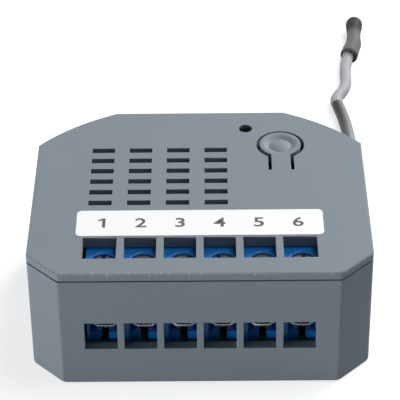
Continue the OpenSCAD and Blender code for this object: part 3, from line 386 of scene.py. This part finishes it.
def wound_copper(colour, axis, pitch):
    """Enamelled copper wire: glossy brown turns side by side. The turns are drawn wider than they are,
    so that they show."""
    look = Finish("enamelled copper wire", colour, spread=0.12, patch=1.5 * MM, grain=0.2 * MM,
                  depth=0.002 * MM, rough=(0.25, 0.38), values={"Metallic": 0.85})
    tree = look.tree
    turn_height, darker = 25.0, 0.35
    along = node(tree, "ShaderNodeSeparateXYZ", links={0: look.place}).outputs[axis]
    phase = node(tree, "ShaderNodeMath", {"operation": "MULTIPLY"}, {0: along, 1: math.pi / pitch})
    wave = node(tree, "ShaderNodeMath", {"operation": "SINE"}, {0: phase})
    turns = node(tree, "ShaderNodeMath", {"operation": "ABSOLUTE"}, {0: wave})
    look.tone = node(tree, "ShaderNodeMix", COLOUR_MIX, {
        SHARE: turns, FIRST: shade(colour, darker), SECOND: look.tone}).outputs[RESULT]
    look.height = node(tree, "ShaderNodeMath", {"operation": "MULTIPLY_ADD"}, {
        0: turns, 1: turn_height, 2: look.fine})
    return look.done()


def wrapped_tape(colour):
    """Polyester tape: glossy yellow film with an overlapping edge every 2 mm."""
    look = Finish("polyester tape", colour, spread=0.05, patch=3 * MM, grain=0.4 * MM, depth=0.003 * MM,
                  rough=(0.2, 0.3), values={"IOR": 1.6})
    tree = look.tree
    lap_width, lap_height, edge_share, darker = 2 * MM, 6.0, 0.08, 0.7
    x, _, _ = node(tree, "ShaderNodeSeparateXYZ", links={0: look.place}).outputs
    widths = node(tree, "ShaderNodeMath", {"operation": "DIVIDE"}, {0: x, 1: lap_width})
    laps = node(tree, "ShaderNodeMath", {"operation": "FRACT"}, {0: widths})
    edge = node(tree, "ShaderNodeMath", {"operation": "LESS_THAN"}, {0: laps, 1: edge_share})
    look.tone = node(tree, "ShaderNodeMix", COLOUR_MIX, {
        SHARE: edge, FIRST: look.tone, SECOND: shade(colour, darker)}).outputs[RESULT]
    look.height = node(tree, "ShaderNodeMath", {"operation": "MULTIPLY_ADD"}, {
        0: laps, 1: lap_height, 2: look.fine})
    return look.done()


def sleeved_can(colour, node_name):
    """Electrolytic can in a printed film sleeve: dark, with a pale stripe down one side and a bare
    aluminium top."""
    look = Finish("sleeved capacitor can", colour, spread=0.06, patch=3 * MM, grain=0.3 * MM,
                  depth=0.002 * MM, rough=(0.25, 0.35), values={"IOR": 1.5})
    tree = look.tree
    low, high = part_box(node_name)
    centre = (low + high) / 2
    stripe_half, bare_height = (high.x - low.x) / 6, 0.15 * MM
    x, y, z = node(tree, "ShaderNodeSeparateXYZ", links={0: look.place}).outputs
    narrow = node(tree, "ShaderNodeMath", {"operation": "COMPARE"}, {0: x, 1: centre.x, 2: stripe_half})
    in_front = node(tree, "ShaderNodeMath", {"operation": "LESS_THAN"}, {0: y, 1: centre.y})
    stripe = node(tree, "ShaderNodeMath", {"operation": "MULTIPLY"}, {0: narrow, 1: in_front})
    top = node(tree, "ShaderNodeMath", {"operation": "GREATER_THAN"}, {0: z, 1: high.z - bare_height})
    for part, tone in ((stripe, "#BCC0C5"), (top, "#DADBDD")):
        look.tone = node(tree, "ShaderNodeMix", COLOUR_MIX, {
            SHARE: part, FIRST: look.tone, SECOND: linear(tone) + [1.0]}).outputs[RESULT]
    tree.links.new(top.outputs[0], look.shader.inputs["Metallic"])
    return look.done()


def banded_resistor(colour, node_name):
    """Lacquered resistor: tan body with colour rings, and tinned leads."""
    look = Finish("lacquered resistor", colour, spread=0.06, patch=2 * MM, grain=0.3 * MM, depth=0.004 * MM,
                  rough=(0.35, 0.5), values={"IOR": 1.5})
    tree = look.tree
    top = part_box(node_name)[1].z
    body_low, body_high, ring_half = top - 7.0 * MM, top - 0.9 * MM, 0.28 * MM
    _, _, z = node(tree, "ShaderNodeSeparateXYZ", links={0: look.place}).outputs
    for share, ring in ((0.2, "#5A2E14"), (0.38, "#111111"), (0.56, "#8C1C13"), (0.82, "#B08D2E")):
        level = body_low + share * (body_high - body_low)
        on_ring = node(tree, "ShaderNodeMath", {"operation": "COMPARE"}, {0: z, 1: level, 2: ring_half})
        look.tone = node(tree, "ShaderNodeMix", COLOUR_MIX, {
            SHARE: on_ring, FIRST: look.tone, SECOND: linear(ring) + [1.0]}).outputs[RESULT]
    return look.done()


def legged_chip(colour, node_name, depth):
    """Moulded epoxy chip: black and dull, with tinned legs along both sides."""
    look = Finish("moulded epoxy", colour, spread=0.12, patch=1.5 * MM, grain=0.12 * MM, depth=0.004 * MM,
                  rough=(0.5, 0.65), values={"IOR": 1.55})
    tree = look.tree
    low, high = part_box(node_name)
    _, y, _ = node(tree, "ShaderNodeSeparateXYZ", links={0: look.place}).outputs
    body = node(tree, "ShaderNodeMath", {"operation": "COMPARE"}, {
        0: y, 1: (low.y + high.y) / 2, 2: depth / 2})
    leg = node(tree, "ShaderNodeMath", {"operation": "SUBTRACT"}, {0: 1.0, 1: body})
    look.tone = node(tree, "ShaderNodeMix", COLOUR_MIX, {
        SHARE: leg, FIRST: look.tone, SECOND: linear("#CED0D1") + [1.0]}).outputs[RESULT]
    tree.links.new(leg.outputs[0], look.shader.inputs["Metallic"])
    return look.done()


def select_only(piece):
    """Leaves one object selected and active."""
    bpy.ops.object.select_all(action="DESELECT")
    piece.select_set(True)
    bpy.context.view_layer.objects.active = piece


def apply_modifier(piece, kind, **settings):
    """Adds a modifier with its settings and applies it."""
    select_only(piece)
    bpy.ops.object.modifier_add(type=kind)
    modifier = piece.modifiers[-1]
    for name, value in settings.items():
        setattr(modifier, name, value)
    bpy.ops.object.modifier_apply(modifier=modifier.name)


def smooth(piece, angle=40.0):
    """Smooth shading that keeps flat faces flat and hard edges hard."""
    select_only(piece)
    bpy.ops.object.shade_smooth_by_angle(angle=math.radians(angle))
    apply_modifier(piece, "WEIGHTED_NORMAL", keep_sharp=True, weight=100)


def dress(piece, material):
    """Makes a material the only one of a piece."""
    piece.data.materials.clear()
    piece.data.materials.append(material)


def narrow_selection(piece, wanted):
    """Of the selected edges, leaves those selected that stand out and whose middle passes a test."""
    shape = bmesh.new()
    shape.from_mesh(piece.data)
    for face in piece.data.polygons:
        face.select = False
    for edge, seen in zip(piece.data.edges, shape.edges):
        middle = (seen.verts[0].co + seen.verts[1].co) / 2
        edge.select = edge.select and seen.is_convex and wanted(middle)
    shape.free()


def weigh_edges(piece, weight):
    """Adds to the bevel weight of the selected edges."""
    select_only(piece)
    bpy.ops.object.mode_set(mode="EDIT")
    bpy.ops.transform.edge_bevelweight(value=weight)
    bpy.ops.object.mode_set(mode="OBJECT")


def softened(source_name, name, radius, kept=None, corner=None, corner_radius=0.0):
    """Copy of a solid with its triangles merged into clean faces and its outer edges rounded off, save for
    those whose middle one test keeps sharp. Those that pass a second test are rounded more."""
    select_only(frame["nodes"][source_name])
    bpy.ops.object.duplicate()
    piece = bpy.context.view_layer.objects.active
    piece.name = piece.data.name = name
    del piece["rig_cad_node"]
    del piece["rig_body"]
    piece.parent = None
    select_only(piece)
    bpy.ops.mesh.customdata_custom_splitnormals_clear()
    bpy.ops.object.mode_set(mode="EDIT")
    bpy.ops.mesh.select_mode(type="VERT")
    bpy.ops.mesh.select_all(action="SELECT")
    bpy.ops.mesh.remove_doubles(threshold=MERGE_WITHIN)
    bpy.ops.mesh.dissolve_limited(angle_limit=FLAT_WITHIN)
    bpy.ops.mesh.select_mode(type="EDGE")
    bpy.ops.mesh.select_all(action="DESELECT")
    bpy.ops.mesh.edges_select_sharp(sharpness=SHARP_FROM)
    bpy.ops.object.mode_set(mode="OBJECT")
    widest = max(radius, corner_radius)
    narrow_selection(piece, lambda middle: not (kept and kept(middle)))
    weigh_edges(piece, radius / widest)
    if corner:
        narrow_selection(piece, corner)
        weigh_edges(piece, 1 - radius / widest)
    apply_modifier(piece, "BEVEL", width=widest, segments=2, limit_method="WEIGHT", use_clamp_overlap=False)
    smooth(piece)
    return piece


def stand_for(piece, node_name, body):
    """The piece takes a solid's place, on its body."""
    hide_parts(node_name)
    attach(piece, body)


def turned(name, rings, sides=40):
    """Round piece about +Z from the origin: a disc, extruded to each next distance and radius."""
    bpy.ops.object.select_all(action="DESELECT")
    bpy.ops.mesh.primitive_circle_add(vertices=sides, radius=rings[0][1], location=(0, 0, rings[0][0]),
                                      fill_type="NGON")
    piece = bpy.context.view_layer.objects.active
    piece.name = piece.data.name = name
    bpy.ops.object.transform_apply(location=True, rotation=False, scale=False)
    bpy.ops.object.mode_set(mode="EDIT")
    bpy.ops.mesh.select_all(action="SELECT")
    for (z0, r0), (z1, r1) in zip(rings, rings[1:]):
        bpy.ops.mesh.extrude_region_move(TRANSFORM_OT_translate={"value": (0, 0, z1 - z0)})
        bpy.ops.transform.resize(value=(r1 / r0, r1 / r0, 1), center_override=(0, 0, z1))
    bpy.ops.mesh.select_all(action="SELECT")
    bpy.ops.mesh.normals_make_consistent(inside=False)
    # What stays selected here would be turned later with the part that is bent
    bpy.ops.mesh.select_all(action="DESELECT")
    bpy.ops.object.mode_set(mode="OBJECT")
    return piece


class RELAYMODULE_OT_stage(bpy.types.Operator):
    """Camera, soft lights and a white floor"""
    bl_idname = "relay_module.stage"
    bl_label = "Stage"

    def execute(self, context):
        scene = context.scene
        scene.view_settings.view_transform = "Standard"
        bpy.ops.object.camera_add()
        camera = context.object
        camera.name = "camera"
        right = Vector((0.99995, 0.00055, -0.00987))
        up = Vector((0.00771, 0.58146, 0.81354))
        ahead = Vector((-0.00619, 0.81357, -0.58143))
        place = Vector((1.560, -204.666, 161.904)) * MM
        camera.matrix_world = Matrix.Translation(place) @ Matrix((right, up, -ahead)).transposed().to_4x4()
        camera.data.lens = 173.0
        camera.data.sensor_width = 36.0
        camera.data.clip_start = 0.01
        camera.data.clip_end = 20.0
        scene.camera = camera

        middle = Vector((0.0, 0.0, 10 * MM))
        # Each light's place, its width and height, and its watts
        for name, place, width, height, power in (
                ("overhead light", (0.3, 0.1, 0.8), 0.35, 0.35, 3.8),
                ("rear light", (0.42, 0.56, 0.5), 0.3, 0.3, 5.5),
                ("low side light", (-0.66, -0.46, 0.04), 0.5, 0.07, 4.6)):
            bpy.ops.object.light_add(type="AREA", location=place)
            lamp = context.object
            lamp.name = name
            lamp.data.shape = "RECTANGLE"
            lamp.data.size, lamp.data.size_y = width, height
            lamp.data.energy = power
            lamp.rotation_mode = "QUATERNION"
            lamp.rotation_quaternion = (middle - Vector(place)).to_track_quat("-Z", "Y")

        self.white_world(scene)
        floor_size, floor_gap = 4.0, 0.02 * MM
        bpy.ops.mesh.primitive_plane_add(size=floor_size, location=(0, 0, -floor_gap))
        floor = context.object
        floor.name = "floor"
        dress(floor, self.white_floor())
        return {"FINISHED"}

    def seen_directly(self, tree):
        """1 for what the camera, a reflection or clear material looks at, 0 for lighting."""
        rays = node(tree, "ShaderNodeLightPath").outputs
        seen = node(tree, "ShaderNodeMath", {"operation": "MAXIMUM"}, {
            0: rays["Is Camera Ray"], 1: rays["Is Glossy Ray"]})
        return node(tree, "ShaderNodeMath", {"operation": "MAXIMUM"}, {
            0: seen, 1: rays["Is Transmission Ray"]})

    def white_world(self, scene):
        """Surround that looks white and lights the pieces with a faint, cool fill."""
        scene.world = bpy.data.worlds.new("soft surround")
        scene.world.use_nodes = True
        tree = scene.world.node_tree
        sky = node(tree, "ShaderNodeMix", COLOUR_MIX, {
            SHARE: self.seen_directly(tree), FIRST: linear("#50555B") + [1.0],
            SECOND: linear("#FFFFFF") + [1.0]}).outputs[RESULT]
        tree.links.new(sky, tree.nodes["Background"].inputs["Color"])

    def white_floor(self):
        """Pale card: the light on it and its own glow add up to white, and its shadow stays."""
        material = bpy.data.materials.new("white card")
        material.use_nodes = True
        tree = material.node_tree
        tree.nodes.clear()
        own_glow = 0.75
        glow = node(tree, "ShaderNodeMath", {"operation": "MULTIPLY"}, {
            0: self.seen_directly(tree), 1: own_glow})
        light = node(tree, "ShaderNodeEmission", links={"Color": linear("#FFFFFF") + [1.0], "Strength": glow})
        card = node(tree, "ShaderNodeBsdfDiffuse", links={"Color": linear("#A6AAAE") + [1.0]})
        both = node(tree, "ShaderNodeAddShader", links={0: light, 1: card})
        node(tree, "ShaderNodeOutputMaterial", links={"Surface": both})
        return material


class RELAYMODULE_OT_antenna(bpy.types.Operator):
    """Antenna wire with the sleeve shrunk over its end"""
    bl_idname = "relay_module.antenna"
    bl_label = "Antenna"

    def execute(self, context):
        sizes, colours = context.scene.relay_module_sizes, context.scene.relay_module_colours
        route = [Vector((WIRE_EXIT[0] + x, WIRE_EXIT[1] + y, z)) * MM for x, y, z in WIRE_ROUTE]
        curve = bpy.data.curves.new("antenna_sheath", "CURVE")
        curve.dimensions = "3D"
        curve.bevel_depth = sizes.wire_diameter / 2
        curve.bevel_resolution = 6
        curve.resolution_u = 8
        curve.use_fill_caps = True
        spline = curve.splines.new("BEZIER")
        spline.bezier_points.add(len(route) - 1)
        for step, (point, at) in enumerate(zip(spline.bezier_points, route)):
            point.co = at
            point.handle_left_type = point.handle_right_type = "AUTO"
            point.radius = 1 + sizes.sleeve_thick / curve.bevel_depth * (step in SLEEVED_STEPS)
        wire = bpy.data.objects.new("antenna_sheath", curve)
        context.scene.collection.objects.link(wire)
        dress(wire, pvc_sheath(colours.sheath, route[SLEEVED_STEPS[-1]].y))
        stand_for(wire, "antenna_wire", "casing")

        cap = self.sleeve(route)
        dress(cap, shrunk_sleeve(colours.sleeve))
        stand_for(cap, "antenna_cap", "casing")
        context.view_layer.update()
        dress(frame["nodes"]["antenna_feed"], pvc_sheath(colours.sheath, 0.0))
        return {"FINISHED"}

    def sleeve(self, route):
        """Sleeve from its open mouth, which adhesive fills around the wire, over a bend and a waist to the
        bulb at its end."""
        # Distances from the mouth and radii, in millimetres
        mouth_r, bore_r, bulb_r, bulb_at = 1.39, 1.22, 1.36, 9.79
        adhesive = [(0.5, 0.3), (0.42, 0.7), (0.3, 0.95), (0.16, 1.12), (0.05, bore_r)]
        lip = [(0.0, bore_r + 0.03), (0.01, mouth_r - 0.03), (0.06, mouth_r)]
        body = [(0.6, 1.38), (1.6, 1.35), (2.6, 1.3), (3.4, 1.26), (4.2, 1.22), (5.2, 1.14), (6.2, 1.1),
                (7.0, 1.12), (7.8, 1.18), (8.6, 1.27), (9.2, 1.33)]
        dome = [(bulb_at + bulb_r * math.sin(math.radians(a)), bulb_r * math.cos(math.radians(a)))
                for a in (0, 15, 30, 45, 60, 72, 82)]
        overlap, elbow = 3.0 * MM, 3.8 * MM
        heading, crook = math.radians(75.5), math.radians(10)
        cap = turned("antenna_sleeve", [(z * MM, r * MM) for z, r in adhesive + lip + body + dome])
        self.bend(cap, overlap, elbow, crook)
        along = Vector((math.cos(heading), math.sin(heading), 0.0))
        cap.location = route[-1] - overlap * along
        cap.rotation_mode = "QUATERNION"
        cap.rotation_quaternion = along.to_track_quat("Z", "Y")
        select_only(cap)
        bpy.ops.object.transform_apply(location=True, rotation=True, scale=True)
        smooth(cap, 60)
        return cap

    def bend(self, cap, start, pivot, angle):
        """Turns the part of the sleeve beyond its start to the left, about a point on its axis."""
        select_only(cap)
        for vertex in cap.data.vertices:
            vertex.select = vertex.co.z > start
        bpy.ops.object.mode_set(mode="EDIT")
        bpy.ops.transform.rotate(value=-angle, orient_axis="Y", orient_type="GLOBAL",
                                 center_override=(0, 0, pivot))
        bpy.ops.object.mode_set(mode="OBJECT")


class RELAYMODULE_OT_casing(bpy.types.Operator):
    """Base shell, top cover and push tongue with rounded edges"""
    bl_idname = "relay_module.casing"
    bl_label = "Casing"

    def execute(self, context):
        sizes, colours = context.scene.relay_module_sizes, context.scene.relay_module_colours
        plastic = matt_abs(colours.casing)
        root_low, root_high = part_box("button_tongue")
        low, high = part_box("base_shell")
        chamfer, on_line, near_corner, film_length = 4.1 * MM, 0.01 * MM, 0.25 * MM, 1 * MM
        corners = [(high.x - chamfer, low.y), (high.x, low.y + chamfer)]

        def at_root(middle):
            """True on the line where the tongue grows out of the cover."""
            return abs(middle.y - root_low.y) < on_line and root_low.x < middle.x < root_high.x

        def at_corner(middle):
            """True on the upright edges beside the front chamfers."""
            return any(math.hypot(abs(middle.x) - x, middle.y - y) < near_corner for x, y in corners)

        for source, name in (("base_shell", "base_moulding"), ("top_cover", "cover_moulding")):
            piece = softened(source, name, sizes.casing_edge, at_root, at_corner, sizes.casing_corner)
            dress(piece, plastic)
            stand_for(piece, source, "casing")
        tongue = softened("button_tongue", "push_tongue", sizes.casing_edge, at_root)
        dress(tongue, plastic)
        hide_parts("button_tongue")
        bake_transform(tongue)
        return {"FINISHED"}


class RELAYMODULE_OT_label(bpy.types.Operator):
    """Paper label with a number for each terminal"""
    bl_idname = "relay_module.label"
    bl_label = "Label"

    def execute(self, context):
        sizes, colours = context.scene.relay_module_sizes, context.scene.relay_module_colours
        low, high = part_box("terminal_label")
        paper_edge = 0.03 * MM
        paper = softened("terminal_label", "label_paper", paper_edge)
        select_only(paper)
        bpy.ops.object.mode_set(mode="EDIT")
        bpy.ops.mesh.select_all(action="SELECT")
        bpy.ops.transform.resize(value=(1, 1, sizes.label_thick / (high.z - low.z)),
                                 center_override=(0, 0, low.z))
        bpy.ops.object.mode_set(mode="OBJECT")
        dress(paper, label_paper(colours.label))
        stand_for(paper, "terminal_label", "casing")

        middle_y, top = (low.y + high.y) / 2, low.z + sizes.label_thick
        numbers = [self.number(i, middle_y, top, sizes) for i in range(POLES)]
        bpy.ops.object.select_all(action="DESELECT")
        for digit in numbers:
            digit.select_set(True)
        context.view_layer.objects.active = numbers[0]
        bpy.ops.object.join()
        numbers[0].name = numbers[0].data.name = "label_numbers"
        dress(numbers[0], print_ink(colours.ink))
        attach(numbers[0], "casing")
        return {"FINISHED"}

    def number(self, pole, middle_y, top, sizes):
        """One printed number, fitted to its height, widened a little and centred on its terminal."""
        widening, merge_within = 1.15, 0.011 * MM
        bpy.ops.object.select_all(action="DESELECT")
        bpy.ops.object.text_add()
        digit = bpy.context.object
        digit.data.body = str(pole + 1)
        digit.data.size = sizes.digit_height
        digit.data.offset = sizes.digit_bold
        digit.data.extrude = sizes.ink_thick
        digit.data.resolution_u = 8
        bpy.ops.object.convert(target="MESH")
        digit = bpy.context.object
        bpy.ops.object.mode_set(mode="EDIT")
        bpy.ops.mesh.select_all(action="SELECT")
        bpy.ops.mesh.remove_doubles(threshold=merge_within)
        bpy.ops.object.mode_set(mode="OBJECT")
        low, high = self.extent(digit)
        if pole == 0:
            self.add_flag(digit, low, high)
            low, high = self.extent(digit)
        tall = sizes.digit_height / (high[1] - low[1])
        wide = widening * tall
        digit.scale = (wide, tall, 1.0)
        digit.location = ((pole - (POLES - 1) / 2) * POLE_PITCH - wide * (low[0] + high[0]) / 2,
                          middle_y - tall * (low[1] + high[1]) / 2, top)
        select_only(digit)
        bpy.ops.object.transform_apply(location=True, rotation=True, scale=True)
        return digit

    def extent(self, digit):
        """Lowest and highest corner of a number."""
        points = [v.co for v in digit.data.vertices]
        return [[pick(p[k] for p in points) for k in range(3)] for pick in (min, max)]

    def add_flag(self, digit, low, high):
        """Slanted stroke at the top left of the number one, which the built-in type draws as a plain bar."""
        width, thick, slant = high[0] - low[0], high[2] - low[2], math.radians(35)
        long, wide, reach_in = 1.9 * width, 0.8 * width, 0.35 * width
        place = (low[0] + reach_in - long / 2 * math.cos(slant),
                 high[1] - long / 2 * math.sin(slant) - wide / 2 * math.cos(slant), low[2] + thick / 2)
        bpy.ops.object.select_all(action="DESELECT")
        bpy.ops.mesh.primitive_cube_add(size=1.0, location=place, rotation=(0, 0, slant),
                                        scale=(long, wide, thick))
        stroke = bpy.context.object
        bpy.ops.object.transform_apply(location=True, rotation=True, scale=True)
        apply_modifier(digit, "BOOLEAN", operation="UNION", object=stroke, solver="EXACT")
        select_only(stroke)
        bpy.ops.object.delete()


class RELAYMODULE_OT_terminals(bpy.types.Operator):
    """Terminal block, clamp cages, clamp screws and contacts"""
    bl_idname = "relay_module.terminals"
    bl_label = "Terminals"

    def execute(self, context):
        sizes, colours = context.scene.relay_module_sizes, context.scene.relay_module_colours
        block = softened("terminal_block", "terminal_moulding", sizes.block_edge)
        dress(block, blue_polyamide(colours.block))
        stand_for(block, "terminal_block", "casing")
        steel = zinc_steel(colours.cage)
        head_height = 1.05 * MM
        # The screws' darker tone is painted shade, standing in for the dark surroundings that their heads
        # reflect
        screw_steel = threaded_steel(colours.plated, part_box("clamp_screw_1")[1].z - head_height)
        for i in range(1, POLES + 1):
            cage_name, screw_name = f"clamp_cage_{i}", f"clamp_screw_{i}"
            cage = softened(cage_name, f"clamp_jaw_{i}", sizes.metal_edge, self.at_bore(cage_name))
            dress(cage, steel)
            stand_for(cage, cage_name, f"clamp_{i}")
            screw = softened(screw_name, f"slotted_screw_{i}", sizes.metal_edge)
            dress(screw, screw_steel)
            stand_for(screw, screw_name, f"screw_{i}")
        # The contacts take the same darkened tone, which is painted shade as on the screws
        dress(frame["nodes"]["terminal_contacts"], sheet_metal("tinned brass", colours.plated, (0.3, 0.45)))
        return {"FINISHED"}

    def at_bore(self, cage_name):
        """Test for the edges around a cage's bore, which fills the cage from side to side."""
        low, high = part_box(cage_name)
        axis, reach = (low + high) / 2, 1.2 * MM
        return lambda middle: (middle - axis).xy.length < reach


class RELAYMODULE_OT_inside(bpy.types.Operator):
    """Materials of the board and the components inside the casing"""
    bl_idname = "relay_module.inside"
    bl_label = "Board and components"

    def execute(self, context):
        colours = context.scene.relay_module_colours
        nodes = frame["nodes"]
        tinned = sheet_metal("tinned leads", linear("#C2C4C6"), (0.3, 0.45))
        black = moulded("black polyester moulding", linear("#26292E"))
        iron = sheet_metal("nickel-plated soft iron", linear("#9A9DA1"), (0.3, 0.45))
        bronze = sheet_metal("phosphor bronze", linear("#C98D4B"), (0.25, 0.4))
        looks = {
            "circuit_board": solder_mask("green solder mask", colours.board),
            "radio_board": solder_mask("blue solder mask", linear("#1C4D80")),
            "radio_shield": sheet_metal("nickel-silver can", linear("#B9BABA"), (0.28, 0.42)),
            "relay_case": black, "relay_base": black,
            "relay_bobbin": moulded("cream nylon moulding", linear("#D8D2C0")),
            "relay_winding": wound_copper(linear("#A5572A"), axis=1, pitch=0.3 * MM),
            "relay_core": iron, "relay_yoke": iron, "relay_armature": iron,
            "relay_contact_blade": bronze, "relay_make_contact": bronze, "relay_break_contact": bronze,
            "relay_coil_pins": tinned,
            "transformer_bobbin": moulded("black phenolic moulding", linear("#1D1D1F"), (0.35, 0.5)),
            "transformer_winding": wrapped_tape(linear("#C9A227")),
            "transformer_core": moulded("sintered ferrite", linear("#3A3A3C"), (0.65, 0.8)),
            "bulk_capacitor": sleeved_can(linear("#26324A"), "bulk_capacitor"),
            "output_capacitor": sleeved_can(linear("#26324A"), "output_capacitor"),
            "varistor": moulded("blue epoxy lacquer", linear("#2F6FA8"), (0.2, 0.32)),
            "fuse_resistor": banded_resistor(linear("#B9A98A"), "fuse_resistor"),
            "rectifier": legged_chip(linear("#232326"), "rectifier", depth=2.8 * MM),
            "power_controller": legged_chip(linear("#232326"), "power_controller", depth=3.9 * MM),
            "chip_parts": moulded("ceramic chips", linear("#6B5A48"), (0.4, 0.55)),
            "tact_switch_body": black, "tact_switch_plunger": black,
            "status_led": moulded("diffused epoxy lens", linear("#D9E6D2"), (0.15, 0.25)),
        }
        for name, material in looks.items():
            dress(nodes[name], material)
        return {"FINISHED"}


class RELAYMODULE_PT_pieces(bpy.types.Panel):
    """Lists the module's pieces and their settings"""
    bl_idname = "RELAYMODULE_PT_pieces"
    bl_label = "Relay Module"
    bl_space_type = "VIEW_3D"
    bl_region_type = "UI"
    bl_category = "Relay Module"

    def draw(self, context):
        for group in (context.scene.relay_module_sizes, context.scene.relay_module_colours):
            box = self.layout.box()
            for name in group.__annotations__:
                box.prop(group, name)
        for operator in OPERATORS:
            self.layout.operator(operator.bl_idname)


OPERATORS = (RELAYMODULE_OT_stage, RELAYMODULE_OT_antenna, RELAYMODULE_OT_casing, RELAYMODULE_OT_label,
             RELAYMODULE_OT_terminals, RELAYMODULE_OT_inside)
CLASSES = (RelayModuleSizes, RelayModuleColours, *OPERATORS, RELAYMODULE_PT_pieces)


def register():
    for cls in CLASSES:
        bpy.utils.register_class(cls)
    bpy.types.Scene.relay_module_sizes = bpy.props.PointerProperty(type=RelayModuleSizes)
    bpy.types.Scene.relay_module_colours = bpy.props.PointerProperty(type=RelayModuleColours)


def unregister():
    del bpy.types.Scene.relay_module_colours
    del bpy.types.Scene.relay_module_sizes
    for cls in reversed(CLASSES):
        bpy.utils.unregister_class(cls)


def main():
    """Makes the pieces in order."""
    register()
    bpy.ops.relay_module.stage()
    bpy.ops.relay_module.antenna()
    bpy.ops.relay_module.casing()
    bpy.ops.relay_module.label()
    bpy.ops.relay_module.terminals()
    bpy.ops.relay_module.inside()


if __name__ == "__main__":
    main()
